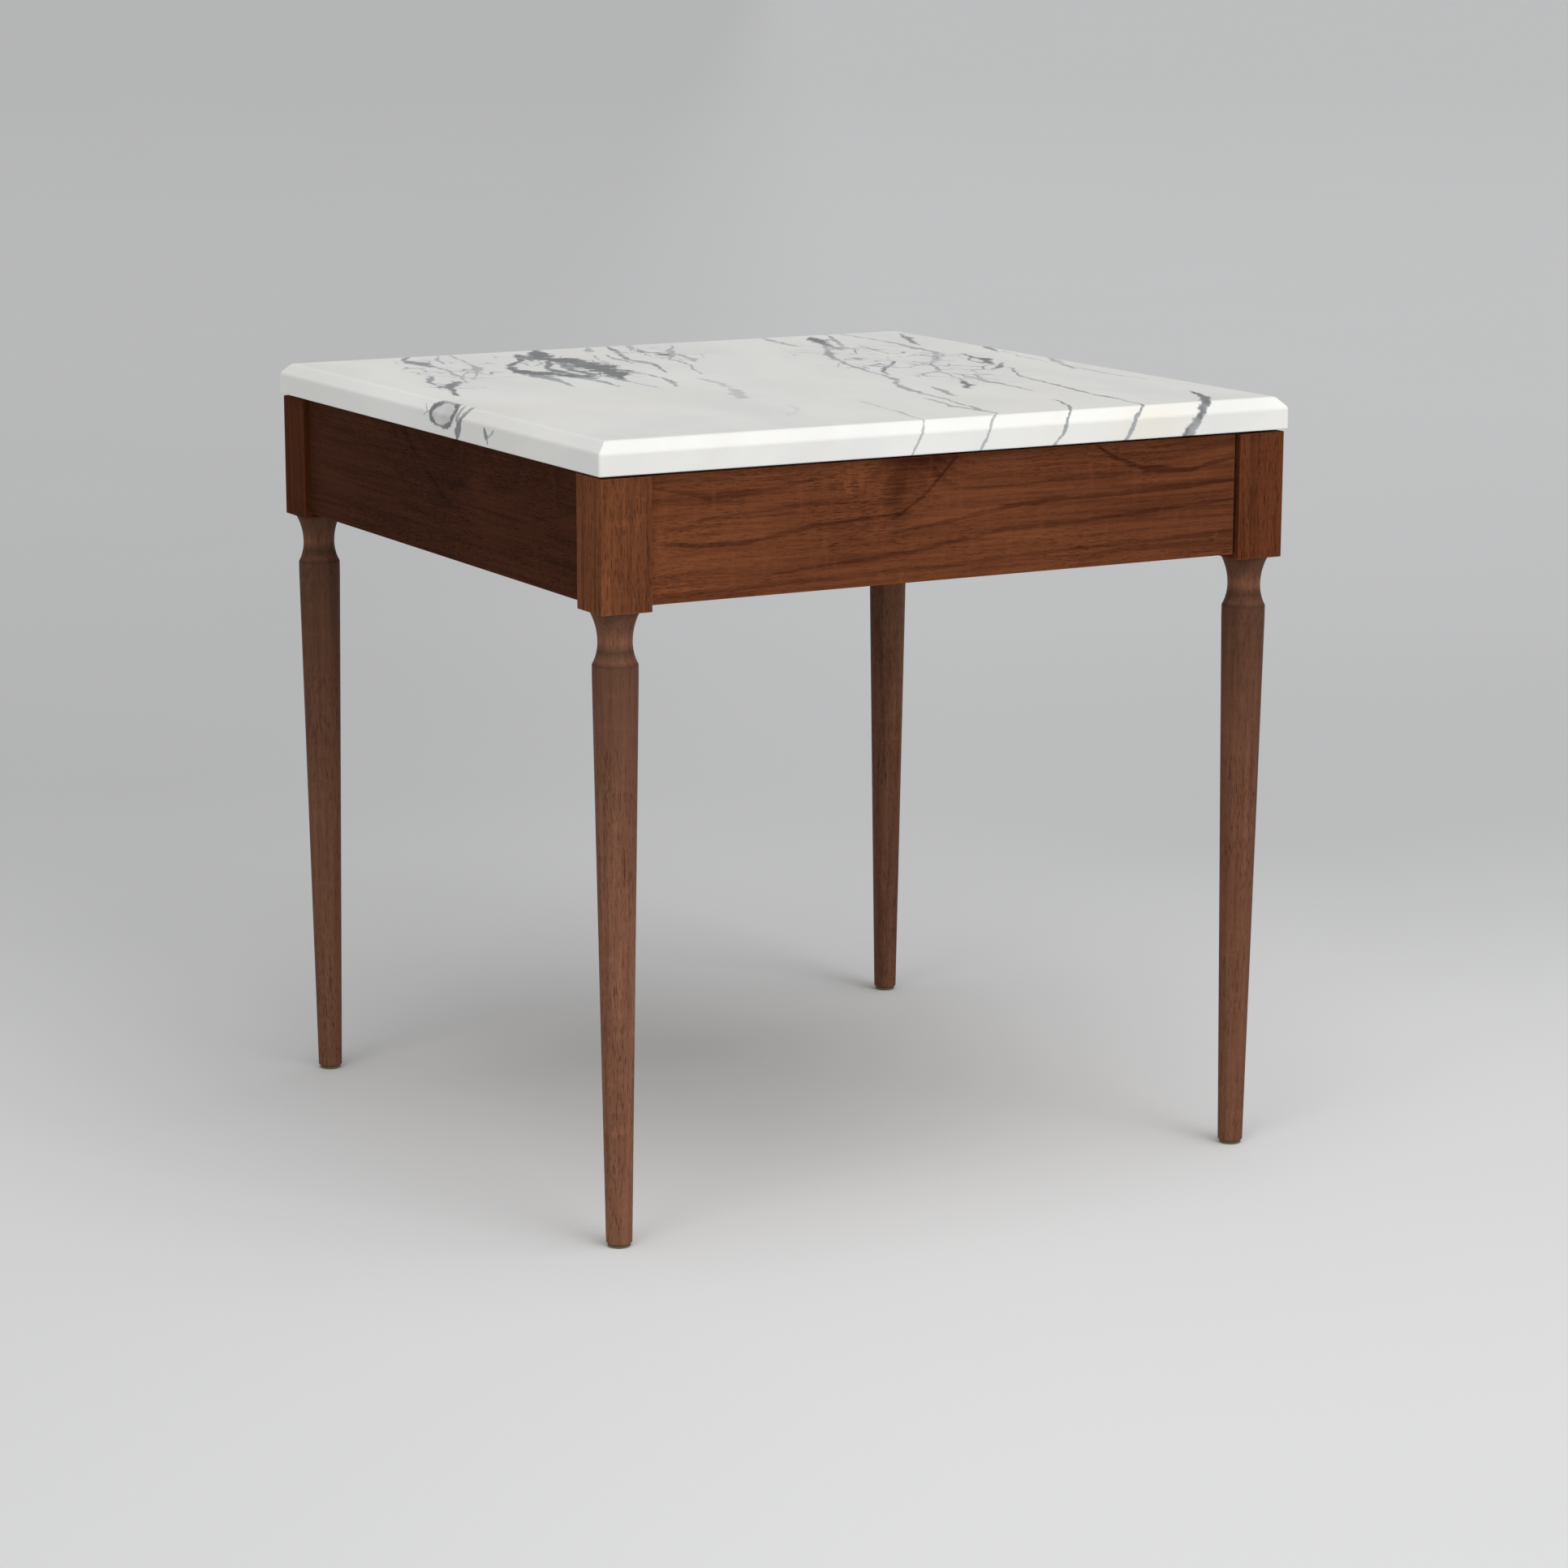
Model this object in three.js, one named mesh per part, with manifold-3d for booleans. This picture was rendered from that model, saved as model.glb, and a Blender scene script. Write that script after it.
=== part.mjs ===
// A square side table with one drawer: a chamfered marble slab on a walnut case with four turned legs.
// Millimetres. +Z is up, the drawer opens towards -Y, and the origin is on the floor below the centre.
import * as THREE from "three";
import { mergeVertices } from "three/addons/utils/BufferGeometryUtils.js";
import Module from "manifold-3d";

const wasm = await Module();
wasm.setup();

// ---- Driving dimensions ----

// Slab, and the height of its top above the floor
const tableHeight = 558.8;
const slabWidth = 553;
const slabDepth = 553;
const slabThickness = 23;
const slabOverhang = 2.3;
const slabChamfer = 7.8;
const slabCornerRadius = 2.5;
const slabArris = 0.6;

// Rubber pads that carry the slab
const padThickness = 1.8;
const padDiameter = 16;

// Posts, the square blocks at the corners
const postWidth = 38;
const postDrop = 3.8;
const postEase = 0.8;

// Aprons
const apronHeight = 87.2;
const apronThickness = 19;
const apronRecess = 4.8;

// Turned legs
const collarInset = 1.8;
const neckDiameter = 23.7;
const neckDrop = 21.2;
const shoulderDiameter = 31.4;
const shoulderDrop = 36.5;
const shoulderLand = 10;
const footDiameter = 18.2;
const footChamfer = 1.2;
const legTenonDiameter = 20;
const legTenonLength = 30;
const legTenonEase = 1;

// Felt discs under the feet
const feltThickness = 2;
const feltInset = 1.2;

// Loose tenons between aprons and posts, and the wood left round their mortises
const tenonThickness = 8;
const tenonTopMargin = 10;
const tenonBoreMargin = 9;
const tenonWall = 1.1;

// Front rail above the drawer box, and the dowels at its ends
const railThickness = 18;
const railDepth = 58;
const railSetback = 2.2;
const dowelWall = 2;

// Rear corner braces and their bolts
const braceLeg = 42;
const braceThickness = 18;
const braceDrop = 2;
const braceBolt = { shank: 6, head: 13, headHeight: 5 };
const braceBoltBite = 14;

// Drawer front
const drawerFrontThickness = 19;
const drawerFrontSideGap = 1.5;
const drawerFrontTopGap = 0.4;
const fingerCoveRadius = 10;
const fingerCoveLength = 180;

// Drawer box
const boxWall = 12;
const boxRearGap = 50.4;
const boxLift = 9.2;
const boxHeadroom = 8;
const bottomThickness = 6;
const bottomRebate = 1.5;
const bottomLift = 6;
const grooveDepth = 5;

// Drawer slides: a cabinet, a middle and a drawer member, nested in that order
const slideThickness = 12.7;
const slideSetback = 4;
const slideSteel = 1.2;
const cabinetHeight = 45;
const cabinetFlange = 9.5;
const raceGap = 1.8;
const middleHeight = 37;
const middleFlange = 8;
const innerHeight = 28;
const innerFlange = 6.5;
const battenMargin = 2;

// Screws: the drawer front's, and the slides', whose tips stop short of the far face of their wood
const frontScrew = { length: 25, shank: 4, head: 9, headHeight: 2.4 };
const frontScrewX = 150;
const frontScrewMargin = 3;
const slideScrew = { shank: 3.6, head: 7, headHeight: 1.2 };
const slideScrewInset = 60;
const battenTipWall = 4.5;
const boxTipWall = 2.4;

// Clearances
const glueGap = 0.1;
const boreGap = 0.3;
const mortiseGap = 0.3;
const grooveGap = 0.3;

// How far a bore runs past the face that it opens
const overshoot = 1;

// Facets
const legSides = 28;
const padSides = 24;
const screwSides = 12;
const arcSteps = 5;

// ---- Places worked out from the sizes above ----

// Case
const slabUnderside = tableHeight - slabThickness;
const caseTop = slabUnderside - padThickness;
const apronBottom = caseTop - apronHeight;
const postBottom = apronBottom - postDrop;
const postHeight = caseTop - postBottom;
const postZ = postBottom + postHeight / 2;
const caseX = slabWidth / 2 - slabOverhang;
const caseY = slabDepth / 2 - slabOverhang;
const postX = caseX - postWidth / 2;
const postY = caseY - postWidth / 2;
const innerX = caseX - postWidth;
const innerY = caseY - postWidth;
const apronX = caseX - apronRecess - apronThickness / 2;
const apronY = caseY - apronRecess - apronThickness / 2;
const apronZ = apronBottom + apronHeight / 2;
const apronSetIn = postWidth - apronRecess - apronThickness;
const collarDiameter = postWidth - 2 * collarInset;
const feltDiameter = footDiameter - 2 * feltInset;

// Joints of the case
const tenonDepth = apronSetIn + (apronThickness - tenonThickness) / 2 - 2 * mortiseGap - tenonWall;
const tenonHeight = caseTop - tenonTopMargin - (postBottom + legTenonLength + tenonBoreMargin);
const tenonZ = caseTop - tenonTopMargin - tenonHeight / 2;
const railZ = caseTop - railThickness / 2;
const braceZ = caseTop - braceDrop - braceThickness / 2;

// Drawer
const frontBack = -(caseY - apronRecess - drawerFrontThickness);
const railFront = frontBack + railSetback;
const dowelY = (railFront - innerY) / 2;
const dowelDiameter = apronSetIn - railSetback - 2 * dowelWall;
const boxFront = frontBack + glueGap;
const boxBack = caseY - apronRecess - apronThickness - boxRearGap;
const boxBottom = apronBottom + boxLift;
const boxHeight = caseTop - railThickness - boxHeadroom - boxBottom;
const boxZ = boxBottom + boxHeight / 2;
const boxX = innerX - slideThickness;
const boxInsideX = boxX - boxWall;
const bottomZ = boxBottom + bottomLift + bottomThickness / 2;
const tongueThickness = bottomThickness - bottomRebate;
const tongueZ = bottomZ - bottomRebate / 2;
const slideLength = boxBack - frontBack;
const slideY = frontBack + slideSetback + slideLength / 2;
const battenThickness = apronSetIn - glueGap;
const cabinetScrew = { ...slideScrew, length: slideSteel + glueGap + battenThickness - battenTipWall };
const memberScrew = { ...slideScrew, length: slideSteel + 2 * glueGap + boxWall - boxTipWall };

// ---- Materials ----

function finish(color, roughness, metalness) {
  return new THREE.MeshStandardMaterial({ color, roughness, metalness });
}

const marble = finish(0xe9e8e4, 0.28, 0);
const walnut = finish(0x6b3a22, 0.5, 0);
const walnutTurned = finish(0x583528, 0.5, 0);
const maple = finish(0xd2b48c, 0.55, 0);
const beech = finish(0xc29a6b, 0.6, 0);
const steel = finish(0xb8bcc0, 0.35, 1);
const rubber = finish(0x2a2a2a, 0.8, 0);
const felt = finish(0x5a5a2c, 0.95, 0);

// ---- Solids ----

// The solid of a closed geometry.
function solidOf(geometry) {
  const bare = geometry.clone();
  bare.deleteAttribute("normal");
  bare.deleteAttribute("uv");
  const merged = mergeVertices(bare, 1e-4);
  const vertProperties = merged.attributes.position.array;
  const triVerts = new Uint32Array(merged.index.array);
  return new wasm.Manifold(new wasm.Mesh({ numProp: 3, vertProperties, triVerts }));
}

// The geometry of a solid, with flat faces.
function geometryOf(solid) {
  const mesh = solid.getMesh();
  const shared = new THREE.BufferGeometry();
  shared.setAttribute("position", new THREE.BufferAttribute(mesh.vertProperties, 3));
  shared.setIndex(new THREE.BufferAttribute(mesh.triVerts, 1));
  const flat = shared.toNonIndexed();
  flat.computeVertexNormals();
  return flat;
}

// A geometry with others cut out of it.
function cut(geometry, cutters) {
  return geometryOf(cutters.reduce((rest, cutter) => rest.subtract(solidOf(cutter)), solidOf(geometry)));
}

// A box of a size, with its centre at a point.
function boxAt(size, centre = [0, 0, 0]) {
  return new THREE.BoxGeometry(...size).translate(...centre);
}

// A turned solid about Z, from an outline of [radius, height] points that starts and ends on the axis.
function turned(outline, sides) {
  const points = outline.map(([radius, height]) => new THREE.Vector2(radius, height));
  return new THREE.LatheGeometry(points, sides).rotateX(Math.PI / 2);
}

// A flat outline of [x, y] points, given a thickness along Z and centred on z = 0.
function plate(outline, thickness) {
  const shape = new THREE.Shape(outline.map(([x, y]) => new THREE.Vector2(x, y)));
  const extruded = new THREE.ExtrudeGeometry(shape, { depth: thickness, bevelEnabled: false });
  return extruded.translate(0, 0, -thickness / 2);
}

// A flat outline of [x, z] points, given a length along Y and centred on y = 0.
function section(outline, length) {
  return plate(outline, length).rotateX(Math.PI / 2);
}

// A round bore that runs from a mouth in the direction that a turn about Z gives to +Y.
// It starts a little outside the mouth.
function boreAt(mouth, turn, diameter, depth, outside = overshoot) {
  const bore = new THREE.CylinderGeometry(diameter / 2, diameter / 2, depth + outside, screwSides);
  return bore.translate(0, (depth - outside) / 2, 0).rotateZ(turn).translate(...mouth);
}

// A mesh of its own, named and placed in a group.
function place(group, name, geometry, material, position, turn = 0) {
  const mesh = new THREE.Mesh(geometry, material);
  mesh.name = name;
  mesh.position.set(...position);
  mesh.rotation.z = turn;
  group.add(mesh);
}

// A pan-head screw that points along +Y, with the underside of its head on y = 0.
function screwGeometry({ length, shank, head, headHeight }) {
  const crown = headHeight / 3;
  const outline = [
    [0, -length],
    [shank / 2, -length + shank / 2],
    [shank / 2, 0],
    [head / 2, 0],
    [head / 2, headHeight - crown],
    [head / 2 - crown, headHeight],
    [0, headHeight],
  ];
  return turned(outline, screwSides).rotateX(Math.PI / 2);
}

const quarter = Math.PI / 2;
const sides = [
  { name: "left", x: -1 },
  { name: "right", x: 1 },
];
const corners = [
  { name: "front_left", x: -1, y: -1 },
  { name: "front_right", x: 1, y: -1 },
  { name: "rear_left", x: -1, y: 1 },
  { name: "rear_right", x: 1, y: 1 },
];

// ---- Slab ----

// The slab's section, chamfered above and with a small arris below.
function slabSection(width, length) {
  const x = width / 2;
  const z = slabThickness / 2;
  const half = [
    [x - slabArris, -z],
    [x, -z + slabArris],
    [x, z - slabChamfer],
    [x - slabChamfer, z],
  ];
  const mirrored = half.map(([a, b]) => [-a, b]).reverse();
  return section([...half, ...mirrored], length);
}

// The slab is what its two sections and its rounded outline have in common.
function slabGeometry() {
  const x = slabWidth / 2 - slabCornerRadius;
  const y = slabDepth / 2 - slabCornerRadius;
  const outline = new THREE.Shape();
  outline.absarc(x, y, slabCornerRadius, 0, quarter);
  outline.absarc(-x, y, slabCornerRadius, quarter, 2 * quarter);
  outline.absarc(-x, -y, slabCornerRadius, 2 * quarter, 3 * quarter);
  outline.absarc(x, -y, slabCornerRadius, 3 * quarter, 4 * quarter);
  const depth = 2 * slabThickness;
  const prism = new THREE.ExtrudeGeometry(outline, { depth, bevelEnabled: false, curveSegments: arcSteps });
  prism.translate(0, 0, -depth / 2);
  const across = slabSection(slabWidth, 2 * slabDepth);
  const along = slabSection(slabDepth, 2 * slabWidth).rotateZ(quarter);
  return geometryOf(solidOf(prism).intersect(solidOf(across)).intersect(solidOf(along)));
}

// ---- Corners: post, leg, felt and slab pad ----

// The mortises for the loose tenons in a post's inner faces, in the post's own frame.
function postMortises(corner) {
  const deep = tenonDepth + mortiseGap;
  const wide = tenonThickness + 2 * mortiseGap;
  const high = tenonHeight + 2 * mortiseGap;
  const inset = (postWidth - deep) / 2;
  const z = tenonZ - postZ;
  const side = boxAt([wide, deep, high], [corner.x * (apronX - postX), -corner.y * inset, z]);
  const rear = boxAt([deep, wide, high], [-corner.x * inset, corner.y * (apronY - postY), z]);
  return corner.y > 0 ? [side, rear] : [side];
}

// The bore for a rail's dowel in a front post, or for a brace's bolt in a rear one.
function postBore(corner) {
  const half = postWidth / 2;
  if (corner.y < 0) {
    const mouth = [-corner.x * half, dowelY + postY, railZ - postZ];
    return boreAt(mouth, -corner.x * quarter, dowelDiameter + 2 * boreGap, tenonDepth + boreGap);
  }
  const mouth = [-corner.x * half, -half, braceZ - postZ];
  const turn = (-corner.x * quarter) / 2;
  const diameter = braceBolt.shank + 2 * boreGap;
  return boreAt(mouth, turn, diameter, braceBoltBite + boreGap, diameter);
}

// A square block with eased upright edges, bored from below for the leg.
function postGeometry(corner) {
  const a = postWidth / 2;
  const b = a - postEase;
  const outline = [[a, -b], [a, b], [b, a], [-b, a], [-a, b], [-a, -b], [-b, -a], [b, -a]];
  const bore = legTenonDiameter / 2 + boreGap;
  const depth = legTenonLength + boreGap;
  const legBore = new THREE.CylinderGeometry(bore, bore, 2 * depth, legSides);
  legBore.rotateX(quarter).translate(0, 0, -postHeight / 2);
  return cut(plate(outline, postHeight), [legBore, postBore(corner), ...postMortises(corner)]);
}

// A hollow arc of the leg's outline between its neck and a radius at another height, from the lower end.
function coveArc(neckZ, endRadius, endZ) {
  const neck = neckDiameter / 2;
  const rise = endZ - neckZ;
  const swell = endRadius - neck;
  const radius = (rise * rise + swell * swell) / (2 * swell);
  const sweep = Math.asin(Math.abs(rise) / radius);
  const points = [];
  for (let i = 0; i <= arcSteps; i += 1) {
    const share = rise > 0 ? i / arcSteps : 1 - i / arcSteps;
    const angle = share * sweep;
    points.push([neck + radius * (1 - Math.cos(angle)), neckZ + Math.sign(rise) * radius * Math.sin(angle)]);
  }
  return points;
}

// A turned leg: a chamfered foot, a long taper up to a shoulder, a waisted neck, and a tenon.
function legGeometry() {
  const foot = footDiameter / 2;
  const shoulder = shoulderDiameter / 2;
  const tenon = legTenonDiameter / 2;
  const top = postBottom - glueGap;
  const shoulderZ = postBottom - shoulderDrop;
  const neckZ = postBottom - neckDrop;
  const tenonTop = postBottom + legTenonLength;
  const outline = [
    [0, feltThickness],
    [foot - footChamfer, feltThickness],
    [foot, feltThickness + footChamfer],
    [shoulder, shoulderZ - shoulderLand],
    ...coveArc(neckZ, shoulder, shoulderZ),
    ...coveArc(neckZ, collarDiameter / 2, top).slice(1),
    [tenon, top],
    [tenon, tenonTop - legTenonEase],
    [tenon - legTenonEase, tenonTop],
    [0, tenonTop],
  ];
  return turned(outline, legSides);
}

function discGeometry(diameter, thickness) {
  return new THREE.CylinderGeometry(diameter / 2, diameter / 2, thickness, padSides).rotateX(quarter);
}

function addCorners(group) {
  for (const corner of corners) {
    const stand = new THREE.Group();
    stand.position.set(corner.x * postX, corner.y * postY, 0);
    const feltHeight = feltThickness - glueGap;
    const feltDisc = discGeometry(feltDiameter, feltHeight);
    const slabPad = discGeometry(padDiameter, padThickness - glueGap);
    place(stand, `post_${corner.name}`, postGeometry(corner), walnut, [0, 0, postZ]);
    place(stand, `leg_${corner.name}`, legGeometry(), walnutTurned, [0, 0, 0]);
    place(stand, `felt_foot_${corner.name}`, feltDisc, felt, [0, 0, feltHeight / 2]);
    place(stand, `slab_pad_${corner.name}`, slabPad, rubber, [0, 0, caseTop + padThickness / 2]);
    group.add(stand);
  }
}

// ---- Aprons, with a mortise in each end, and the loose tenons that join them to the posts ----

// An apron that runs along Y.
function apronGeometry(length) {
  const deep = tenonDepth + mortiseGap;
  const size = [tenonThickness + 2 * mortiseGap, deep, tenonHeight + 2 * mortiseGap];
  const mortises = [-1, 1].map((end) => boxAt(size, [0, (end * (length - deep)) / 2, tenonZ - apronZ]));
  return cut(boxAt([apronThickness, length, apronHeight]), mortises);
}

function addAprons(group) {
  const tenon = boxAt([tenonThickness, 2 * tenonDepth, tenonHeight]);
  for (const side of sides) {
    const x = side.x * apronX;
    place(group, `apron_${side.name}`, apronGeometry(2 * (innerY - glueGap)), walnut, [x, 0, apronZ]);
    place(group, `tenon_${side.name}_front`, tenon, beech, [x, -innerY, tenonZ]);
    place(group, `tenon_${side.name}_rear`, tenon, beech, [x, innerY, tenonZ]);
    place(group, `tenon_rear_${side.name}`, tenon, beech, [side.x * innerX, apronY, tenonZ], quarter);
  }
  place(group, "apron_rear", apronGeometry(2 * (innerX - glueGap)), walnut, [0, apronY, apronZ], quarter);
}

// ---- Front rail, which fills the space between the front posts and ends against the side aprons ----

function railGeometry() {
  const tongueX = innerX - glueGap;
  const earX = innerX + apronSetIn - glueGap;
  const earY = -innerY + glueGap;
  const backY = railFront + railDepth;
  const half = [
    [tongueX, railFront],
    [tongueX, earY],
    [earX, earY],
    [earX, backY],
  ];
  const mirrored = half.map(([x, y]) => [-x, y]).reverse();
  const diameter = dowelDiameter + 2 * boreGap;
  const depth = tenonDepth + boreGap;
  const bores = sides.map(({ x }) => boreAt([x * tongueX, dowelY, 0], x * quarter, diameter, depth));
  return cut(plate([...half, ...mirrored], railThickness), bores);
}

function addRail(group) {
  place(group, "front_rail", railGeometry(), beech, [0, 0, railZ]);
  for (const side of sides) {
    const radius = dowelDiameter / 2;
    const dowel = new THREE.CylinderGeometry(radius, radius, 2 * tenonDepth, screwSides);
    const centre = [side.x * (innerX - glueGap / 2), dowelY, railZ];
    place(group, `rail_dowel_${side.name}`, dowel, beech, centre, quarter);
  }
}

// ---- Rear corner braces, each bolted through the post's inner edge ----

function addBraces(group) {
  const wall = apronSetIn - glueGap;
  const middle = (wall - braceLeg) / 2;
  const through = -middle * Math.SQRT2;
  for (const side of sides) {
    const outline = [
      [wall, -glueGap],
      [-glueGap, -glueGap],
      [-glueGap, wall],
      [-braceLeg, wall],
      [wall, -braceLeg],
    ].map(([x, y]) => [side.x * x, y]);
    const turn = (-side.x * quarter) / 2;
    const head = [side.x * (middle - glueGap), middle - glueGap];
    const diameter = braceBolt.shank + 2 * boreGap;
    const bore = boreAt([...head, 0], turn, diameter, 2 * through);
    const brace = cut(plate(outline, braceThickness), [bore]);
    const corner = new THREE.Group();
    corner.position.set(side.x * innerX, innerY, braceZ);
    place(corner, `corner_brace_rear_${side.name}`, brace, beech, [0, 0, 0]);
    const bolt = screwGeometry({ ...braceBolt, length: through + braceBoltBite });
    place(corner, `brace_bolt_rear_${side.name}`, bolt, steel, [...head, 0], turn);
    group.add(corner);
  }
}

// ---- Battens, flush with the posts, that carry the slides ----

const slideScrewY = [-1, 1].map((end) => end * (slideLength / 2 - slideScrewInset));

function addBattens(group) {
  const size = [battenThickness, 2 * (innerY - glueGap), boxHeight + 2 * battenMargin];
  for (const side of sides) {
    const turn = -side.x * quarter;
    const diameter = slideScrew.shank + 2 * boreGap;
    const mouth = (-side.x * battenThickness) / 2;
    const bores = slideScrewY.map((y) => boreAt([mouth, slideY + y, 0], turn, diameter, cabinetScrew.length));
    const centre = [side.x * (innerX + battenThickness / 2), 0, boxZ];
    place(group, `slide_batten_${side.name}`, cut(boxAt(size), bores), beech, centre);
  }
}

// ---- Slides ----

// A steel channel along Y with its web at one place across the slide and its flanges' tips at another.
function channelGeometry(web, tips, height, side) {
  const inward = Math.sign(tips - web) * slideSteel;
  const z = height / 2;
  const half = [
    [web, z],
    [tips, z],
    [tips, z - slideSteel],
    [web + inward, z - slideSteel],
  ];
  const mirrored = half.map(([x, y]) => [x, -y]).reverse();
  const outline = [...half, ...mirrored].map(([x, y]) => [-side.x * x, y]);
  return section(outline, slideLength);
}

// Holes through a member's web for its screws, which point outwards or inwards.
function webHoles(web, turn, side) {
  const diameter = slideScrew.shank + 2 * boreGap;
  return slideScrewY.map((y) => boreAt([-side.x * web, y, 0], turn, diameter, slideSteel + overshoot));
}

function addSlide(fixed, middle, moving, side) {
  const outwards = -side.x * quarter;
  const inwards = -outwards;
  const origin = [side.x * innerX, slideY, boxZ];
  const cabinetWeb = glueGap;
  const cabinetSeat = cabinetWeb + slideSteel;
  const cabinet = channelGeometry(cabinetWeb, cabinetFlange, cabinetHeight, side);
  const cabinetHoles = webHoles(cabinetSeat, outwards, side);
  place(fixed, `slide_cabinet_${side.name}`, cut(cabinet, cabinetHoles), steel, origin);
  const middleWeb = slideSteel + raceGap;
  const middleChannel = channelGeometry(middleWeb, middleWeb + middleFlange, middleHeight, side);
  place(middle, `slide_middle_${side.name}`, middleChannel, steel, origin);
  const innerWeb = slideThickness - glueGap;
  const innerSeat = innerWeb - slideSteel;
  const member = channelGeometry(innerWeb, innerWeb - innerFlange, innerHeight, side);
  place(moving, `slide_drawer_${side.name}`, cut(member, webHoles(innerSeat, inwards, side)), steel, origin);
  slideScrewY.forEach((y, i) => {
    const end = ["front", "rear"][i];
    const cabinetX = side.x * (innerX - cabinetSeat - glueGap);
    const memberX = side.x * (innerX - innerSeat + glueGap);
    const at = [slideY + y, boxZ];
    const outer = screwGeometry(cabinetScrew);
    const inner = screwGeometry(memberScrew);
    place(fixed, `cabinet_screw_${side.name}_${end}`, outer, steel, [cabinetX, ...at], outwards);
    place(moving, `member_screw_${side.name}_${end}`, inner, steel, [memberX, ...at], inwards);
  });
}

// ---- Drawer ----

// The screws that hold the box to the drawer front, above the bottom panel, as [x, z] from the box's centre.
const frontScrewEdge = frontScrew.head / 2 + frontScrewMargin;
const frontScrewTop = boxHeight / 2 - frontScrewEdge;
const frontScrewLow = bottomZ + bottomThickness / 2 + frontScrewEdge - boxZ;
const frontScrewPlaces = [
  [-frontScrewX, frontScrewTop],
  [frontScrewX, frontScrewTop],
  [-frontScrewX, frontScrewLow],
  [frontScrewX, frontScrewLow],
];
const frontScrewBore = frontScrew.shank + 2 * boreGap;

// The front has a finger cove along its lower back edge.
function addDrawerFront(group) {
  const width = 2 * (innerX - drawerFrontSideGap);
  const height = apronHeight - drawerFrontTopGap;
  const y = frontBack - drawerFrontThickness / 2;
  const z = apronBottom + height / 2;
  const back = drawerFrontThickness / 2;
  const cove = new THREE.CylinderGeometry(fingerCoveRadius, fingerCoveRadius, fingerCoveLength, padSides);
  cove.rotateZ(quarter).translate(0, back, -height / 2);
  const bores = frontScrewPlaces.map(([sx, sz]) =>
    boreAt([sx, back, boxZ + sz - z], 2 * quarter, frontScrewBore, frontScrew.length - boxWall),
  );
  const front = cut(boxAt([width, drawerFrontThickness, height]), [cove, ...bores]);
  place(group, "drawer_front", front, walnut, [0, y, z]);
}

// The slot that holds the tongue of the drawer's bottom panel, in a wall's own frame.
function grooveAt(size, offset) {
  return boxAt([...size, tongueThickness + 2 * grooveGap], [...offset, tongueZ - boxZ]);
}

// The bottom panel: a rebate round its upper face leaves a floor between the walls and a tongue all round.
function bottomGeometry(insideX, insideY) {
  const field = boxAt([insideX - 2 * grooveGap, insideY - 2 * grooveGap, bottomThickness]);
  const lap = 2 * (grooveDepth - grooveGap);
  const tongue = boxAt([insideX + lap, insideY + lap, tongueThickness], [0, 0, tongueZ - bottomZ]);
  return geometryOf(solidOf(field).add(solidOf(tongue)));
}

function addDrawerBox(group) {
  const length = boxBack - boxFront;
  const middleY = (boxFront + boxBack) / 2;
  for (const side of sides) {
    const x = side.x * (boxX - boxWall / 2);
    const groove = grooveAt([grooveDepth, 2 * length], [(-side.x * (boxWall - grooveDepth)) / 2, 0]);
    const diameter = slideScrew.shank + 2 * boreGap;
    const outer = (side.x * boxWall) / 2;
    const bores = slideScrewY.map((y) =>
      boreAt([outer, slideY + y - middleY, 0], side.x * quarter, diameter, memberScrew.length),
    );
    const wall = cut(boxAt([boxWall, length, boxHeight]), [groove, ...bores]);
    place(group, `drawer_side_${side.name}`, wall, maple, [x, middleY, boxZ]);
  }
  const width = 2 * (boxInsideX - glueGap);
  const frontGroove = grooveAt([2 * width, grooveDepth], [0, (boxWall - grooveDepth) / 2]);
  const frontBores = frontScrewPlaces.map(([sx, sz]) =>
    boreAt([sx, boxWall / 2, sz], 2 * quarter, frontScrewBore, boxWall + overshoot),
  );
  const subFront = cut(boxAt([width, boxWall, boxHeight]), [frontGroove, ...frontBores]);
  place(group, "drawer_box_front", subFront, maple, [0, boxFront + boxWall / 2, boxZ]);
  const backGroove = grooveAt([2 * width, grooveDepth], [0, -(boxWall - grooveDepth) / 2]);
  const back = cut(boxAt([width, boxWall, boxHeight]), [backGroove]);
  place(group, "drawer_box_back", back, maple, [0, boxBack - boxWall / 2, boxZ]);
  const bottom = bottomGeometry(2 * boxInsideX, length - 2 * boxWall);
  place(group, "drawer_bottom", bottom, maple, [0, middleY, bottomZ]);
}

function addFrontScrews(group) {
  const y = boxFront + boxWall + glueGap;
  frontScrewPlaces.forEach(([x, z], i) => {
    const name = `front_screw_${i < 2 ? "upper" : "lower"}_${x < 0 ? "left" : "right"}`;
    place(group, name, screwGeometry(frontScrew), steel, [x, y, boxZ + z], 2 * quarter);
  });
}

// ---- The table ----

const table = new THREE.Group();
const frame = new THREE.Group();
const middles = new THREE.Group();
const drawer = new THREE.Group();
table.add(frame, middles, drawer);

place(frame, "marble_top", slabGeometry(), marble, [0, 0, slabUnderside + slabThickness / 2]);
addCorners(frame);
addAprons(frame);
addRail(frame);
addBraces(frame);
addBattens(frame);
for (const side of sides) addSlide(frame, middles, drawer, side);
addDrawerFront(drawer);
addDrawerBox(drawer);
addFrontScrews(drawer);

export default table;
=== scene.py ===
"""The looks of a square side table: marble slab, walnut case and turned legs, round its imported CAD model."""

import math

import bmesh
import bpy
from mathutils import Matrix, Vector


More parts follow.
